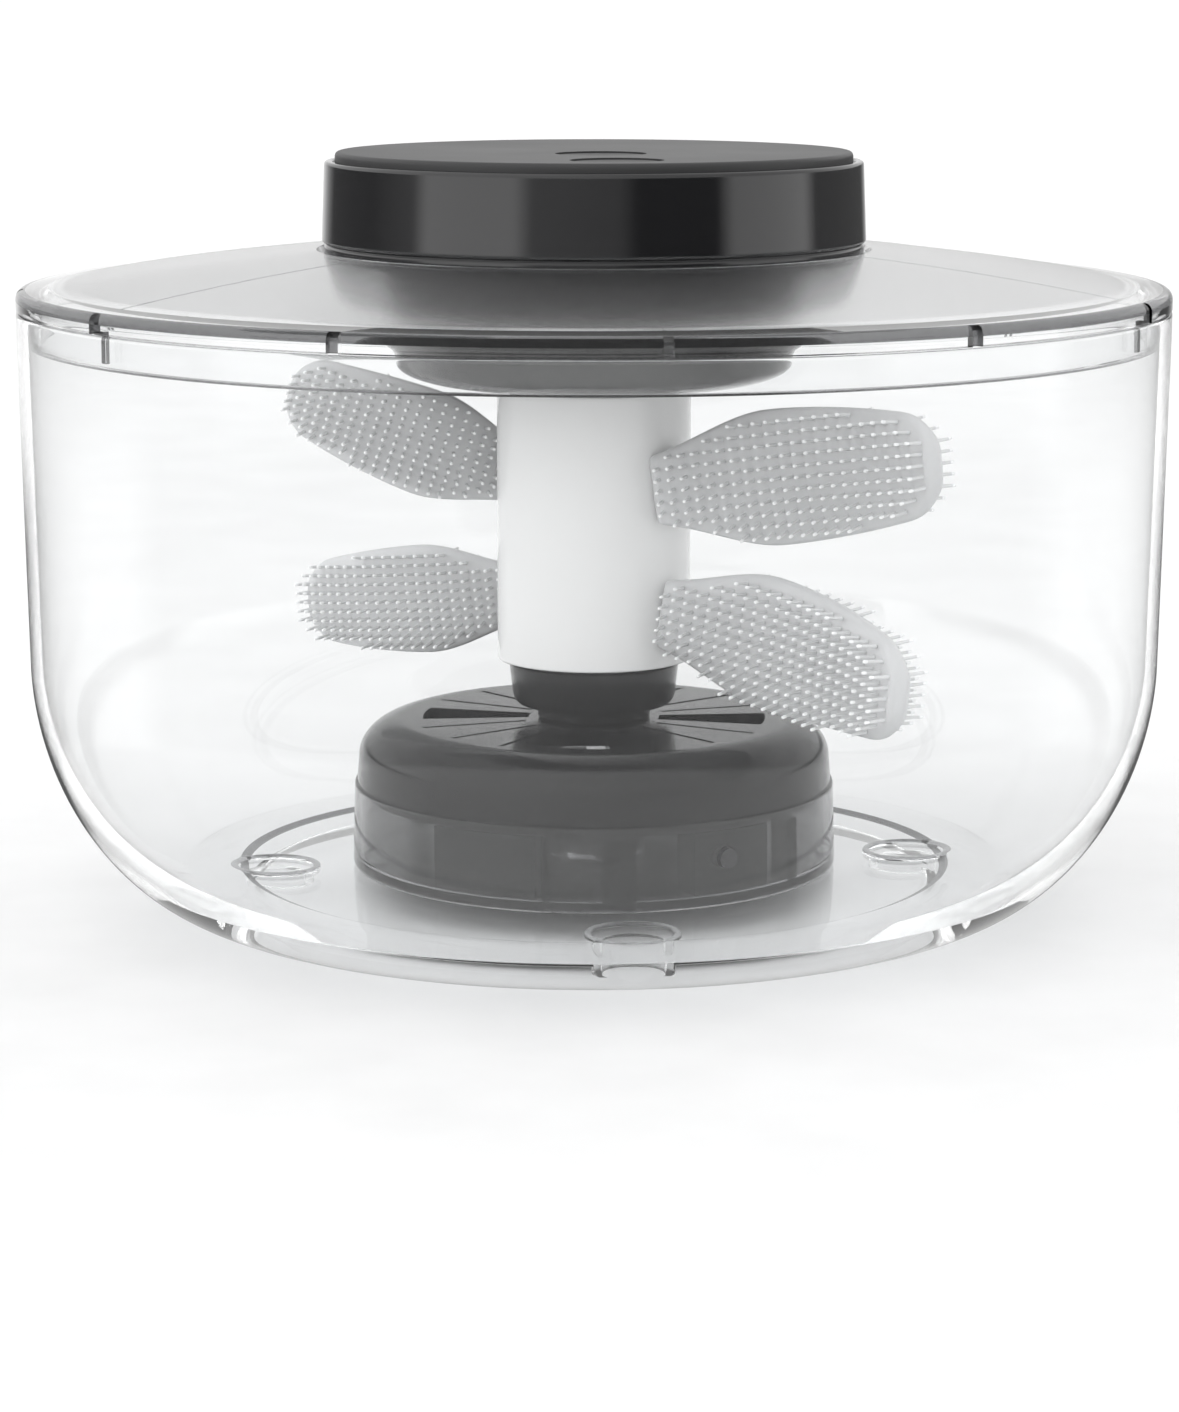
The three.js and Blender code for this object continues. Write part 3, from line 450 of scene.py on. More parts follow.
def combine(piece, tool, how, sharp=35):
    """The piece with the tool cut away (DIFFERENCE) or joined on (UNION)."""
    modifier = piece.modifiers.new("combine", "BOOLEAN")
    modifier.operation = how
    modifier.solver = "EXACT"
    modifier.object = tool
    graph = bpy.context.evaluated_depsgraph_get()
    mesh = bpy.data.meshes.new_from_object(piece.evaluated_get(graph))
    name = piece.name
    material = piece.data.materials[0]
    bpy.data.objects.remove(piece)
    bpy.data.objects.remove(tool)
    return dress(name, mesh, material, sharp)


def centre_of(polygon):
    """The middle of a face in millimetres, in full precision: some lie on a look's limit."""
    return [value / MM for value in polygon.center]


def settle(piece, body, slot, *nodes):
    """Puts a piece on its body, in place of the CAD nodes named. The material slot is not used."""
    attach(piece, body)
    if nodes:
        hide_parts(*nodes)
    return piece


# ---------- bowl ----------
WALL = 2.5
CORNER_R, CORNER_TOP, CORNER_POWER = 123.7, 56, 1.9
FOOT_IN, FOOT_OUT = 77, 82
FLOOR_UNDER, FLOOR_TOP = 4, 7
FLOOR_STEP_R, STEP_TOP = 78, 7.8
FILLET_TOE_R, FILLET_R = 91.1, 98.5
SPIGOT_R, SPIGOT_TOP = 9, 11
SOCKET_CIRCLE, SOCKET_OUT, SOCKET_BORE, SOCKET_RING = 71.3, 8.5, 6.75, 10.1
SOCKET_BOTTOM, SOCKET_ROOF, SOCKET_RING_TOP = 2.4, 5.5, 8
WELL_R, WELL_MOUTH_R = SOCKET_RING - 1.7, SOCKET_RING - 1.4


def make_bowl(material, rim_shade_material, step_shade_material):
    outside = superellipse((FOOT_OUT, 0), (CORNER_R, CORNER_TOP), CORNER_POWER, 36)
    inside = superellipse(
        (FOOT_OUT + 1, STEP_TOP), (CORNER_R - WALL, CORNER_TOP), CORNER_POWER, 30,
    )
    inside = [point for point in inside if point[0] > FILLET_R]
    inside.insert(0, (FILLET_TOE_R, STEP_TOP, 0.4))
    bowl = lathe("bowl_clear", rounded([
        (0, FLOOR_UNDER), (FOOT_IN - 3, FLOOR_UNDER, 1.5), (FOOT_IN, 0.02, 1.2),
        *outside, (BOWL_R, BOWL_TOP - 4), (BOWL_R, BOWL_TOP, 0.7),
        (BOWL_R - WALL, BOWL_TOP, 0.7), (BOWL_R - WALL, BOWL_TOP - 4), *reversed(inside),
        (FLOOR_STEP_R + 0.9, STEP_TOP, 0.6), (FLOOR_STEP_R, FLOOR_TOP, 0.6),
        (SPIGOT_R, FLOOR_TOP, 0.5), (SPIGOT_R, SPIGOT_TOP, 0.8), (0, SPIGOT_TOP),
    ]), material, 256, sharp=50)
    bosses, cutters = [], []
    for angle in (-90, 0, 90, 180):
        place = (SOCKET_CIRCLE * math.cos(rad(angle)), SOCKET_CIRCLE * math.sin(rad(angle)))
        bosses.append(lathe("boss", rounded([
            (0, SOCKET_BOTTOM), (SOCKET_OUT, SOCKET_BOTTOM, 0.4), (SOCKET_OUT, 4.6, 0.5),
            (SOCKET_RING, 5), (SOCKET_RING, SOCKET_RING_TOP, 0.5),
            (WELL_MOUTH_R, SOCKET_RING_TOP, 0.5), (WELL_R, FLOOR_TOP - 0.05, 0.5),
            (0, FLOOR_TOP - 0.05),
        ]), material, 64, place))
        cutters.append(lathe("bore", rounded([
            (0, -1), (SOCKET_BORE, -1), (SOCKET_BORE, SOCKET_ROOF, 0.8), (0, SOCKET_ROOF),
        ]), material, 64, place))
        cutters.append(lathe("well", rounded([
            (0, FLOOR_TOP), (WELL_R, FLOOR_TOP, 0.4), (WELL_MOUTH_R, SOCKET_RING_TOP + 1),
            (0, SOCKET_RING_TOP + 1),
        ]), material, 64, place))
    bowl = combine(bowl, joined(bosses), "UNION", 50)
    bowl = combine(bowl, joined(cutters), "DIFFERENCE", 50)
    bowl.data.materials.append(rim_shade_material)
    bowl.data.materials.append(step_shade_material)
    for polygon in bowl.data.polygons:
        polygon.material_index = bowl_surface(polygon)
    return settle(bowl, "bowl", "clear_plastic", "bowl")


def bowl_surface(polygon):
    """Which look a bowl face has: 0 clear, 1 a grey line of painted shade on the rim and socket
    rings, 2 painted dark shade on the step of the floor.
    """
    x, y, z = centre_of(polygon)
    r = math.hypot(x, y)
    across, along = sorted((abs(x), abs(y)))
    from_ring = math.hypot(along - SOCKET_CIRCLE, across) - (SOCKET_RING - 0.8)
    on_socket = abs(z - SOCKET_RING_TOP) < 0.6 and abs(from_ring) < 1.1
    on_rim = polygon.normal.z > 0.9 and z > BOWL_TOP - 0.5
    # The rim top and the socket ring tops are tinted grey: painted shade for the lines that
    # refraction draws there.
    if on_socket or on_rim:
        return 1
    # The riser of the floor step is tinted dark: painted shade for the dark crescent that
    # refraction makes there.
    on_step = -0.8 < r - FLOOR_STEP_R < 1.1 and FLOOR_TOP < z < SOCKET_RING_TOP
    return 2 if on_step else 0


# ---------- lid ----------
LID_EDGE_TOP = 136.3
DOME_PEAK, DOME_FALL, DOME_EDGE_R = 146.9, 7.1e-4, 118
LID_WALL, SKIRT_WALL = 2.4, 2.2
SKIRT_R, SKIRT_INSIDE_TOP = 122, 133
SEAT_R, SEAT_Z, LID_HOLE_R = 59.8, 142.6, 46
LONG_SLOT_BOTTOM = 126.3
FOLD = 2.4
LONG_SLOT_ANGLES = range(-90, 270, 60)
SHORT_SLOT_ANGLES = range(-60, 300, 60)


def dome_z(r):
    return DOME_PEAK - DOME_FALL * r * r


def make_lid(clear, satin, edge, rim, cut):
    """The lid: satin on top, with painted dark shade on its fold and cut walls and painted grey
    shade on its band and skirt foot.
    """
    top = [DOME_EDGE_R - (DOME_EDGE_R - SEAT_R - 0.5) * i / 14 for i in range(15)]
    under = [SEAT_R - 2 + (DOME_EDGE_R - SEAT_R + 1) * i / 14 for i in range(15)]
    low = SEAT_Z - LID_WALL + 0.2
    lid = lathe("lid_clear", rounded([
        (LID_HOLE_R, low), (SEAT_R - 2.5, low, 0.8),
        *[(r, dome_z(r) - LID_WALL) for r in under],
        (SKIRT_R - SKIRT_WALL, SKIRT_INSIDE_TOP, 0.8), (SKIRT_R - SKIRT_WALL, SKIRT_BOTTOM, 0.3),
        (SKIRT_R, SKIRT_BOTTOM, 0.3), (SKIRT_R, BOWL_TOP + GAP), (BOWL_R, BOWL_TOP + GAP, 0.3),
        (BOWL_R, LID_EDGE_TOP, FOLD), *[(r, dome_z(r)) for r in top],
        (SEAT_R, SEAT_Z, 0.4), (LID_HOLE_R, SEAT_Z),
    ], 6), clear, 256, sharp=50)
    for angle in LONG_SLOT_ANGLES:
        lid = combine(lid, rib_mesh(angle), "UNION", 50)
    notches = []
    for angle, half in [(a, 1) for a in LONG_SLOT_ANGLES] + [(a, 1.3) for a in SHORT_SLOT_ANGLES]:
        low, high = (BOWL_R - 1.7, -half, BOWL_TOP - 2), (BOWL_R + 2, half, LID_EDGE_TOP + 4)
        notches.append(box_mesh("notch", low, high, angle))
    lid = combine(lid, joined(notches), "DIFFERENCE", 50)
    slots = []
    for angle in LONG_SLOT_ANGLES:
        low, high = (SKIRT_R - 0.9, -0.9, LONG_SLOT_BOTTOM), (SKIRT_R + 5, 0.9, BOWL_TOP + 0.8)
        slots.append(box_mesh("slot", low, high, angle))
    lid = combine(lid, joined(slots), "DIFFERENCE", 50)
    lid.data.materials.clear()
    for material in (clear, satin, edge, rim, cut):
        lid.data.materials.append(material)
    # Fold, band, skirt foot and cut walls take the dark-tinted looks: lines of painted shade.
    for polygon in lid.data.polygons:
        polygon.material_index = lid_surface(polygon)
    return settle(lid, "lid", "clear_plastic", "lid_shell")


def lid_surface(polygon):
    """Which look a lid face has: 0 clear, 1 satin, 2 the fold in painted dark shade, 3 the band or
    skirt foot in painted grey shade, 4 a cut wall in painted dark shade.
    """
    x, y, z = centre_of(polygon)
    r = math.hypot(x, y)
    level = abs(polygon.normal.z) > 0.7
    outward = abs(polygon.normal.xy.dot(polygon.center.xy.normalized()))
    if r > SKIRT_R - 1 and outward < 0.5 and not level:
        return 4
    if r > BOWL_R - FOLD - 0.3 and z > LID_EDGE_TOP - FOLD:
        return 2
    if level and r < DOME_EDGE_R and z > SEAT_Z - 8:
        return 1
    at_band = level and z < BOWL_TOP + 0.5
    return 3 if at_band or z < SKIRT_BOTTOM + 0.5 else 0


def rib_mesh(angle):
    """A hair-fine raised line that runs up the dome from its edge to the motor unit."""
    radii = [SEAT_R + 1 + (DOME_EDGE_R - SEAT_R - 1) * i / 14 for i in range(15)]
    verts, faces = [], []
    for r in radii:
        for side, up in ((-0.3, -0.5), (0.3, -0.5), (0.12, 0.14), (-0.12, 0.14)):
            verts.append((r * MM, side * MM, (dome_z(r) + up) * MM))
    for i in range(len(radii) - 1):
        for k in range(4):
            a, b = 4 * i + k, 4 * i + (k + 1) % 4
            faces.append((a, b, b + 4, a + 4))
    end = 4 * (len(radii) - 1)
    faces += [(0, 1, 2, 3), (end, end + 1, end + 2, end + 3)]
    ridge = make_object("ridge", verts, faces, None)
    ridge.data.transform(Matrix.Rotation(rad(angle), 4, "Z"))
    return ridge


def make_dish(material):
    outer = superellipse((25, 114.8), (43.3, 119.6), 2, 16)
    inner = superellipse((25, 116.8), (41.3, 120), 2, 12)
    dish = lathe("motor_dish_smoky", rounded([
        (10.8, 114.8, 0.3), *outer, (43.9, 125, 2), (45.5, 132, 3), (49.5, 136.6, 2),
        (56.8, 138.3, 0.8), (56.8, 140.1, 0.3), (47, 140.1, 0.5), (43.2, 131.5, 2),
        *reversed(inner), (10.8, 116.8, 0.3),
    ]), material, 160)
    return settle(dish, "lid", "smoky_plastic", "motor_dish")


# ---------- motor unit ----------
CAP_LIP_R, CAP_LIP_TOP, CAP_INNER_R = 58.6, 145.6, 56.5
CAP_TOP_R = 58.3
RECESS_HALF, RECESS_BOTTOM, RECESS_TOP, RECESS_DEPTH_R = 8.2, 145.8, 153.8, 57.6
PORT_HALF, PORT_BOTTOM, PORT_TOP = 5.2, 147.6, 151.7
BUTTON_R, BUTTON_FLANGE_R, BUTTON_TOP = 9.5, 10.5, 165
BUTTON_PLACES = (-13, -41.8)


def make_cap(material):
    cap = lathe("cap_shell_glossy", rounded([
        (CAP_INNER_R, CAP_BOTTOM, 0.2), (CAP_LIP_R, CAP_BOTTOM, 0.6),
        (CAP_LIP_R, CAP_LIP_TOP - 0.5, 0.3), (CAP_R - 0.9, CAP_LIP_TOP, 0.3),
        (CAP_R, CAP_LIP_TOP + 0.5, 0.5), (CAP_TOP_R + 0.1, CAP_SHOULDER, 0.9),
        (CAP_INNER_R + 0.2, CAP_SHOULDER, 0.3), (CAP_INNER_R, 162.7), (53.2, 162.7),
        (53.2, 160.6), (CAP_INNER_R - 0.4, 159.4),
    ]), material, 256)
    past_wall, inside_wall = 62, 50
    recess = box_mesh(
        "recess", (-RECESS_HALF, RECESS_DEPTH_R, RECESS_BOTTOM),
        (RECESS_HALF, past_wall, RECESS_TOP),
    )
    cap = combine(cap, recess, "DIFFERENCE")
    port = box_mesh(
        "port", (-PORT_HALF, inside_wall, PORT_BOTTOM), (PORT_HALF, past_wall, PORT_TOP),
    )
    cap = combine(cap, port, "DIFFERENCE")
    return settle(cap, "motor_unit", "black_gloss_plastic", "cap_shell")


def make_panel(material):
    panel = lathe("top_panel_satin", rounded([
        (0, PANEL_UNDER), (PANEL_R, PANEL_UNDER), (PANEL_R, PANEL_TOP, 1.6), (0, PANEL_TOP),
    ], 6), material, 256)
    hole_r, hole_bottom, hole_top = BUTTON_R + GAP, PANEL_UNDER - 1, PANEL_TOP + 1
    holes = [
        lathe("hole", [(0, hole_bottom), (hole_r, hole_bottom), (hole_r, hole_top), (0, hole_top)],
              material, 96, (0, y))
        for y in BUTTON_PLACES
    ]
    panel = combine(panel, joined(holes), "DIFFERENCE")
    return settle(panel, "motor_unit", "black_satin_plastic", "top_panel")


def make_button(name, place, material):
    button = lathe(name + "_cap", rounded([
        (0, 160.9), (2, 160.9), (2, 161.4), (BUTTON_FLANGE_R, 161.4, 0.2),
        (BUTTON_FLANGE_R, 162.7, 0.2), (BUTTON_R, 162.7), (BUTTON_R, BUTTON_TOP, 0.5),
        (BUTTON_R * 0.7, BUTTON_TOP - 0.25, 3), (0, BUTTON_TOP - 0.5),
    ]), material, 96, (0, place))
    return settle(button, name, "black_satin_plastic", name)


# ---------- grit trap and pivot ----------
TRAP_TOP_R, TRAP_SEAM, TRAP_FLAT_R = 53.2, 26.5, 42
TRAP_TURN, WEDGE_HALF = -101.5, 10.3
CUP_NECK_R = 12.5
WALL_RIBS = [(-90.5, 4), (-41.5, 2), (-108, 0.8), (89.5, 4), (138.5, 2), (72, 0.8)]
RIB_IN, RIB_BOTTOM, RIB_TOP = 47.5, 8.3, 23.6
LATCH_ANGLES, LATCH_BORE_R, LATCH_Z = (-64.5, 115.5), 2.6, 18.2
WEDGE_IN, WEDGE_OUT, SLIT_IN, SLIT_OUT, SLIT_HALF = 14.5, 38, 16, 40, 0.6
SLIT_TURNS = (25, 45, 65)


def make_tray(material, rib_shade_material):
    tray = lathe("trap_tray_smoky", rounded([
        (0, 11.3), (9.4, 11.3), (9.4, TRAP_BOTTOM, 0.3), (TRAP_R, TRAP_BOTTOM, 1.4),
        (TRAP_TOP_R, TRAY_TOP, 0.35), (TRAP_TOP_R - 2, TRAY_TOP, 0.3),
        (TRAP_R - 2.3, 9.3, 1.5), (11.4, 9.3, 0.5), (11.4, 13.3, 0.8), (0, 13.3),
    ]), material, 192)
    ribs = [
        sector_mesh("rib", RIB_IN, TRAP_TOP_R - 1, half, RIB_BOTTOM, RIB_TOP, angle)
        for angle, half in WALL_RIBS
    ]
    tray = combine(tray, joined(ribs), "UNION")
    holes = [latch_bore(angle) for angle in LATCH_ANGLES]
    tray = combine(tray, joined(holes), "DIFFERENCE")
    # Rib faces take the dense dark smoky look: painted shade for the darker view of the ribs
    # through the tray wall.
    tray.data.materials.append(rib_shade_material)
    for polygon in tray.data.polygons:
        x, y, z = centre_of(polygon)
        on_rib = RIB_IN - 0.5 < math.hypot(x, y) < TRAP_TOP_R - 2.2 and z > RIB_BOTTOM + 1.3
        if on_rib:
            polygon.material_index = 1
    return settle(tray, "bowl", "smoky_plastic", "trap_tray")


def latch_bore(angle):
    """A level round cutter through the trap wall where a latch button sits."""
    start, end, r = 49, 58, LATCH_BORE_R
    bore = lathe("bore", [(0, start), (r, start), (r, end), (0, end)], None, 32)
    turn = Matrix.Rotation(rad(angle), 4, "Z") @ Matrix.Rotation(rad(90), 4, "Y")
    bore.data.transform(Matrix.Translation((0, 0, LATCH_Z * MM)) @ turn)
    return bore


def make_dome(material):
    outer = superellipse((TRAP_FLAT_R, TRAP_TOP), (52.2, TRAP_TOP - 8.1), 2, 14)
    inner = superellipse((TRAP_FLAT_R, TRAP_TOP - 2), (50.2, TRAP_TOP - 8.1), 2, 12)
    dome = lathe("trap_dome_smoky", [
        (0, TRAP_TOP), *outer, *rounded([
            (TRAP_TOP_R, TRAP_SEAM + 0.1, 0.35), (50.8, TRAP_SEAM + 0.1), (50.8, 24.1),
            (48.9, 24.1), (48.9, 27.5),
        ]), *reversed(inner), (0, TRAP_TOP - 2),
    ], material, 192)
    cutters = []
    low, high = 37, 42
    for quarter in range(4):
        middle = TRAP_TURN + 90 * quarter
        cutters.append(
            sector_mesh("wedge", WEDGE_IN, WEDGE_OUT, WEDGE_HALF, low, high, middle)
        )
        for turn in SLIT_TURNS:
            corners = (SLIT_IN, -SLIT_HALF, low), (SLIT_OUT, SLIT_HALF, high)
            cutters.append(box_mesh("slit", *corners, middle + turn))
    dome = combine(dome, joined(cutters), "DIFFERENCE")
    return settle(dome, "bowl", "smoky_plastic", "trap_dome")


def make_cup(material):
    cup = lathe("pivot_cup_smoky", rounded([
        (2.8, 46), (1.7, 46), (1.7, CUP_BOTTOM), (CUP_NECK_R, CUP_BOTTOM, 0.4),
        (CUP_NECK_R, 43.4, 0.3), (17, 44, 2), (18, 45.8, 1.5), (CUP_R, 53.2, 0.5),
        (16.2, 53.6, 0.4), (16.2, CUP_TOP, 0.5), (2.8, CUP_TOP),
    ]), material, 160)
    return settle(cup, "bowl", "smoky_plastic", "pivot_cup")


# ---------- brush column ----------
# Each brush: where round the tube it starts and which way it heads at its root and tip, in
# degrees from +X, the heights of its root and tip, and its size beside the largest.
BRUSHES = [
    dict(start=-59.5, turn=(-16.5, -54.5), heights=(93.4, 103.2), size=1.0),
    dict(start=-53.3, turn=(-28.5, -69.5), heights=(66.4, 55.2), size=1.0),
    dict(start=132.6, turn=(190.8, 150.8), heights=(92.5, 112.2), size=0.81),
    dict(start=130.7, turn=(164.7, 124.7), heights=(66.1, 60.1), size=0.84),
]
TUBE_BORE, BRUSH_LENGTH = 19.2, 69
ROOT_HALF, MAX_HALF, TIP_HALF = 7.15, 14.65, 9.8
PAD_THICK = 5.2
ARM_FROM, ARM_TO, ARM_INSET, ARM_THICK = 0.02, 0.9, 3.6, 1.8
BRISTLE_LENGTH, BRISTLE_R, BRISTLE_SIDES, BRISTLE_ROOT = 4.7, 0.4, 8, 0.35
# Along a bristle: share of its length and share of its radius.
BRISTLE_RINGS = [(0.0, 1.15), (0.4, 0.95), (0.78, 0.85), (0.88, 1.0), (0.96, 0.85), (1.0, 0.3)]
COLUMN_PITCH, ROW_PITCH, BRISTLE_MARGIN, SPLAY = 2.95, 2.35, 1.3, 0.16


def make_tube(material):
    tube = lathe("column_tube_white", rounded([
        (TUBE_BORE, TUBE_BOTTOM, 0.5), (TUBE_R, TUBE_BOTTOM, 0.5), (TUBE_R, TUBE_TOP, 0.5),
        (TUBE_BORE, TUBE_TOP, 0.5),
    ]), material, 160)
    return settle(tube, "brush_column", "white_gloss_plastic", "column_tube")


def brush_half(u):
    """Half width of a brush at a share of its length."""
    bend = 0.4
    if u < bend:
        t = min(1, max(0, (u + 0.06) / (bend + 0.06)))
        half = ROOT_HALF + (MAX_HALF - ROOT_HALF) * t * t * (3 - 2 * t)
    else:
        half = MAX_HALF - (MAX_HALF - TIP_HALF) * ((u - bend) / (1 - bend)) ** 1.7
    tip = 0.86
    if u > tip:
        half *= math.sqrt(max(0, 1 - ((u - tip) / (1 - tip)) ** 2.4))
    return half


def brush_frame(brush, u):
    """Place, and directions across and through, of a brush at a share of its length."""
    length = BRUSH_LENGTH * brush["size"]
    root_z, tip_z = brush["heights"]
    lean = math.atan2(tip_z - root_z, length)
    first = rad(brush["turn"][0])
    turn = rad(brush["turn"][1]) - first
    run = length * math.cos(lean)
    heading = first + turn * u
    start = TUBE_R + 0.2
    place = Vector((
        start * math.cos(rad(brush["start"]))
        + run * (math.sin(heading) - math.sin(first)) / turn,
        start * math.sin(rad(brush["start"]))
        - run * (math.cos(heading) - math.cos(first)) / turn,
        root_z + (tip_z - root_z) * u,
    ))
    wide = Vector((
        -math.cos(heading) * math.sin(lean), -math.sin(heading) * math.sin(lean),
        math.cos(lean),
    ))
    thick = Vector((math.sin(heading), -math.cos(heading), 0))
    return place, wide, thick


def blade_mesh(name, brush, first, last, inset, thickness, material):
    """A crowned, round-edged blade along a brush between two shares of its length."""
    verts, faces = [], []
    steps, around = 60, 28
    end_share, least_half = 0.03, 0.6
    for i in range(steps + 1):
        share = 0.5 - 0.5 * math.cos(math.pi * i / steps)
        place, wide, thick = brush_frame(brush, first + (last - first) * share)
        full_half = brush_half(first + (last - first) * share) * brush["size"]
        half = max(full_half - inset, least_half)
        ends = min(1, share / end_share, (1 - share) / end_share)
        end = math.sqrt(1 - (1 - ends) ** 2) * 0.75 + 0.25
        depth = thickness / 2 * min(1, (half / 6) ** 0.6) * end
        half -= 0.9 * (1 - end) * (share < 0.5)
        for k in range(around):
            a = 2 * math.pi * k / around
            w = math.copysign(abs(math.cos(a)) ** 0.55, math.cos(a)) * half
            h = math.copysign(abs(math.sin(a)) ** 0.75, math.sin(a)) * depth
            verts.append((place + wide * w + thick * h) * MM)
    for i in range(steps):
        for k in range(around):
            a, b = i * around + k, i * around + (k + 1) % around
            faces.append((a, b, b + around, a + around))
    faces.append(tuple(range(around)))
    faces.append(tuple(steps * around + k for k in range(around)))
    return make_object(name, verts, faces, material, 60)


def make_arm(index, brush, material):
    """The stiff arm inside a brush."""
    arm = blade_mesh(
        f"brush_arm_{index}_core", brush, ARM_FROM, ARM_TO, ARM_INSET, ARM_THICK, material,
    )
    settle(arm, "brush_column", "acetal", f"brush_arm_{index}")


def make_pad(index, brush, material):
    pad = blade_mesh(
        f"bristle_pad_{index}_silicone", brush, 0.0, 0.998, 0, PAD_THICK, material,
    )
    settle(pad, "brush_column", "silicone", f"bristle_pad_{index}")


def bristle_roots(brush):
    """Where each bristle of a brush starts and which way it points."""
    size = brush["size"]
    columns = int(BRUSH_LENGTH / COLUMN_PITCH) - 1
    for column in range(columns):
        u = (column + 0.6) / (columns + 0.45)
        half = brush_half(u) * size - BRISTLE_MARGIN
        if half < 1:
            continue
        place, wide, thick = brush_frame(brush, u)
        rows = int(half / (ROW_PITCH * size))
        for row in range(-rows, rows + 1):
            w = row * ROW_PITCH * size
            for side in (1, -1):
                root = place + wide * w + thick * (side * (PAD_THICK / 2 - BRISTLE_ROOT))
                if math.hypot(root.x, root.y) < TUBE_R + 0.5:
                    continue
                axis = thick * side + wide * (SPLAY * w / (MAX_HALF * size))
                yield root, axis.normalized(), wide, thick.cross(wide)


def make_bristles(index, brush, material, tip_highlight_material):
    """Rows of tapered bristles on both faces of a brush, with round tips painted pale: a painted
    highlight.
    """
    verts, faces, tips = [], [], []
    length = BRISTLE_LENGTH * brush["size"] + BRISTLE_ROOT
    sides = BRISTLE_SIDES
    for root, axis, wide, along in bristle_roots(brush):
        start = len(verts)
        for share, width in BRISTLE_RINGS:
            centre = root + axis * (share * length)
            for k in range(sides):
                a = 2 * math.pi * k / sides
                spot = wide * math.cos(a) + along * math.sin(a)
                verts.append((centre + spot * (BRISTLE_R * width)) * MM)
        for ring in range(len(BRISTLE_RINGS) - 1):
            for k in range(sides):
                a = start + ring * sides + k
                b = start + ring * sides + (k + 1) % sides
                faces.append((a, b, b + sides, a + sides))
                tips.append(ring >= 2)
        last = start + (len(BRISTLE_RINGS) - 1) * sides
        faces.append(tuple(start + k for k in range(sides)))
        faces.append(tuple(last + k for k in range(sides)))
        tips += [False, True]
    mesh = bpy.data.meshes.new("bristles")
    mesh.from_pydata([tuple(v) for v in verts], [], faces)
    mesh.materials.append(material)
    mesh.materials.append(tip_highlight_material)
    mesh.polygons.foreach_set("material_index", [int(tip) for tip in tips])
    piece = dress(f"bristles_{index}", mesh, None, 60)
    settle(piece, "brush_column", "silicone")


# ---------- put together ----------
make_camera()
make_light()
make_floor()

CLEAR = clear_plastic(
    "clear_polished", (0.955, 0.96, 0.962), 0.01, 1.04, (0.97, 0.975, 0.98), coat=1.0,
)
LID_TOP = clear_plastic("clear_satin_top", (0.87, 0.875, 0.88), 0.15, 1.46, (0.93, 0.93, 0.93))
# Dark-tinted clear plastic: painted shade that draws the dark line along the lid's fold.
LID_EDGE = clear_plastic("clear_fold_painted_shade", (0.06, 0.06, 0.062), 0.06, 1.2, (0.6, 0.6, 0.6))
# Nearly black clear plastic: painted shade on the walls of the lid's slots and notches.
CUT_SHADE_LINE = clear_plastic("clear_cut_painted_shade", (0.02, 0.02, 0.021), 0.1, 1.2, (0.5, 0.5, 0.5))
# Grey-tinted clear plastic: painted shade that draws the edge lines of the bowl rim, socket rings,
# lid band and skirt foot.
RIM_SHADE_LINE = clear_plastic("clear_rim_painted_shade", (0.25, 0.25, 0.255), 0.03, 1.2, (0.7, 0.7, 0.7))
# Dark-tinted clear plastic: painted shade that draws the dark line along the bowl's floor step.
STEP_SHADE_LINE = clear_plastic("clear_step_painted_shade", (0.07, 0.07, 0.072), 0.03, 1.2, (0.6, 0.6, 0.6))
SMOKY = smoky_plastic("smoky_translucent", (0.42, 0.42, 0.424), 0.08, 0.97, 0.08)
SMOKY_DOME = smoky_plastic("smoky_dome", (0.012, 0.012, 0.0124), 0.16, 0.25, 0.08)
SMOKY_DENSE = smoky_plastic("smoky_dense", (0.012, 0.012, 0.0125), 0.12, 0.2, 0.25)
BLACKENED = paint("steel_blackened", (0.06, 0.06, 0.062), 0.5, metallic=1.0)
BLACK_GLOSS = paint("black_glossy", (0.012, 0.012, 0.013), 0.09, grain=(300, 0.01), specular=0.6)
BLACK_SATIN = paint(
    "black_satin", (0.04, 0.04, 0.041), 0.42, grain=(2500, 0.15), specular=0.3,
)
WHITE = paint("white_glossy", (0.80, 0.80, 0.797), 0.12, grain=(300, 0.01), change=0.015)
DARK = paint("dark_moulded", (0.03, 0.03, 0.032), 0.5, grain=(1800, 0.2))
ACETAL = paint("acetal_natural", (0.8, 0.79, 0.76), 0.4, grain=(1200, 0.05))
RUBBER = paint("rubber_matt", (0.025, 0.025, 0.025), 0.7, grain=(2200, 0.3))
STEEL = paint("steel_plain", (0.56, 0.57, 0.58), 0.28, metallic=1.0, grain=(1500, 0.1))
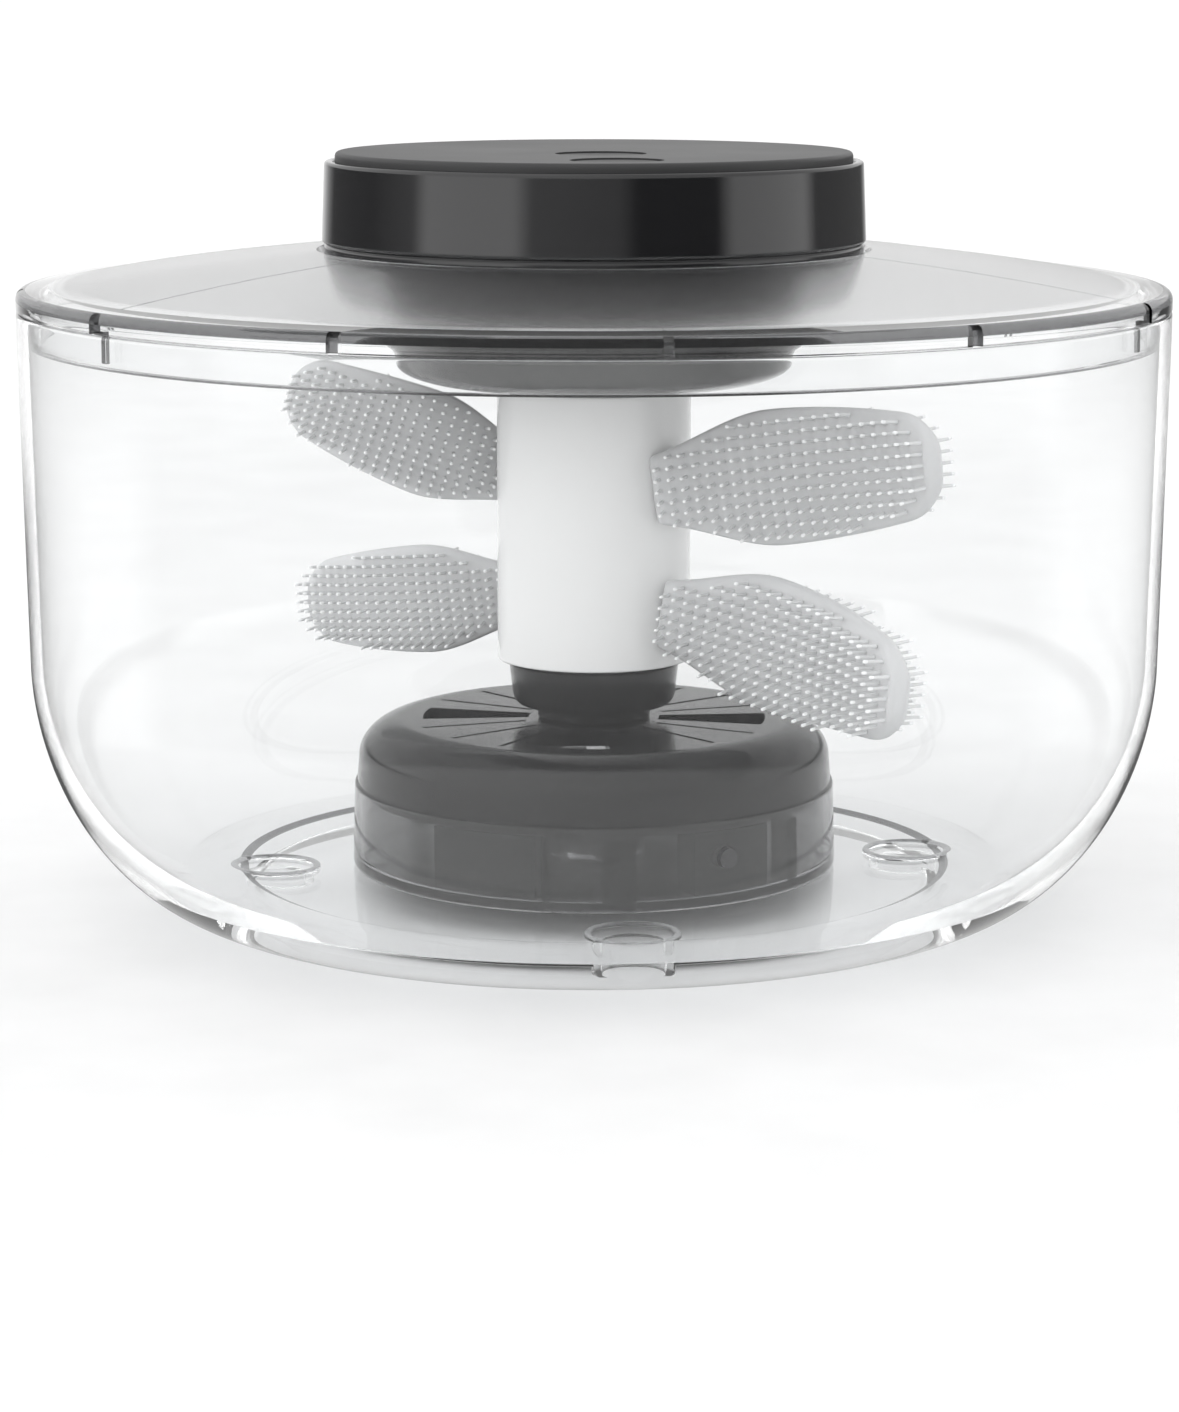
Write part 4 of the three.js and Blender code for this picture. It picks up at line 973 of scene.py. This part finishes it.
FOIL = paint("pouch_foil", (0.68, 0.69, 0.7), 0.4, metallic=1.0, grain=(500, 0.3))
BOARD = paint("board_green", (0.03, 0.16, 0.07), 0.45, grain=(1500, 0.2))
SILICONE = silicone_material("silicone_grey", (0.58, 0.583, 0.587))
BRISTLE = silicone_material("bristle_grey", (0.66, 0.663, 0.667))
# Near-white bristle tips: a painted highlight where the tips catch the light.
BRISTLE_TIP_HIGHLIGHT = silicone_material("bristle_tip_painted_highlight", (0.93, 0.933, 0.936))

NODE_MATERIALS = {
    "clear_plastic": CLEAR, "smoky_plastic": SMOKY, "black_gloss_plastic": BLACK_GLOSS,
    "black_satin_plastic": BLACK_SATIN, "white_gloss_plastic": WHITE, "dark_plastic": DARK,
    "acetal": ACETAL, "black_rubber": RUBBER, "steel": STEEL, "foil_pouch": FOIL,
    "circuit_board": BOARD, "silicone": SILICONE,
}
for part in frame["record"]["subparts"]:
    node = frame["nodes"][part["node"]]
    node.data.materials.clear()
    node.data.materials.append(NODE_MATERIALS[part["material_slot"]])
for number in (1, 2):
    frame["nodes"][f"ballast_block_{number}"].data.materials[0] = BLACKENED

make_bowl(CLEAR, RIM_SHADE_LINE, STEP_SHADE_LINE)
make_lid(CLEAR, LID_TOP, LID_EDGE, RIM_SHADE_LINE, CUT_SHADE_LINE)
make_dish(SMOKY_DENSE)
make_cap(BLACK_GLOSS)
make_panel(BLACK_SATIN)
make_button("power_button", BUTTON_PLACES[0], BLACK_SATIN)
make_button("mode_button", BUTTON_PLACES[1], BLACK_SATIN)
make_tray(SMOKY, SMOKY_DOME)
make_dome(SMOKY_DOME)
make_cup(SMOKY_DENSE)
make_tube(WHITE)
for number, brush in enumerate(BRUSHES, 1):
    make_arm(number, brush, ACETAL)
    make_pad(number, brush, SILICONE)
    make_bristles(number, brush, BRISTLE, BRISTLE_TIP_HIGHLIGHT)

scene = bpy.context.scene
scene.view_settings.view_transform = "Standard"
scene.cycles.use_denoising = True
scene.cycles.max_bounces = 24
scene.cycles.transmission_bounces = 20
scene.cycles.transparent_max_bounces = 32
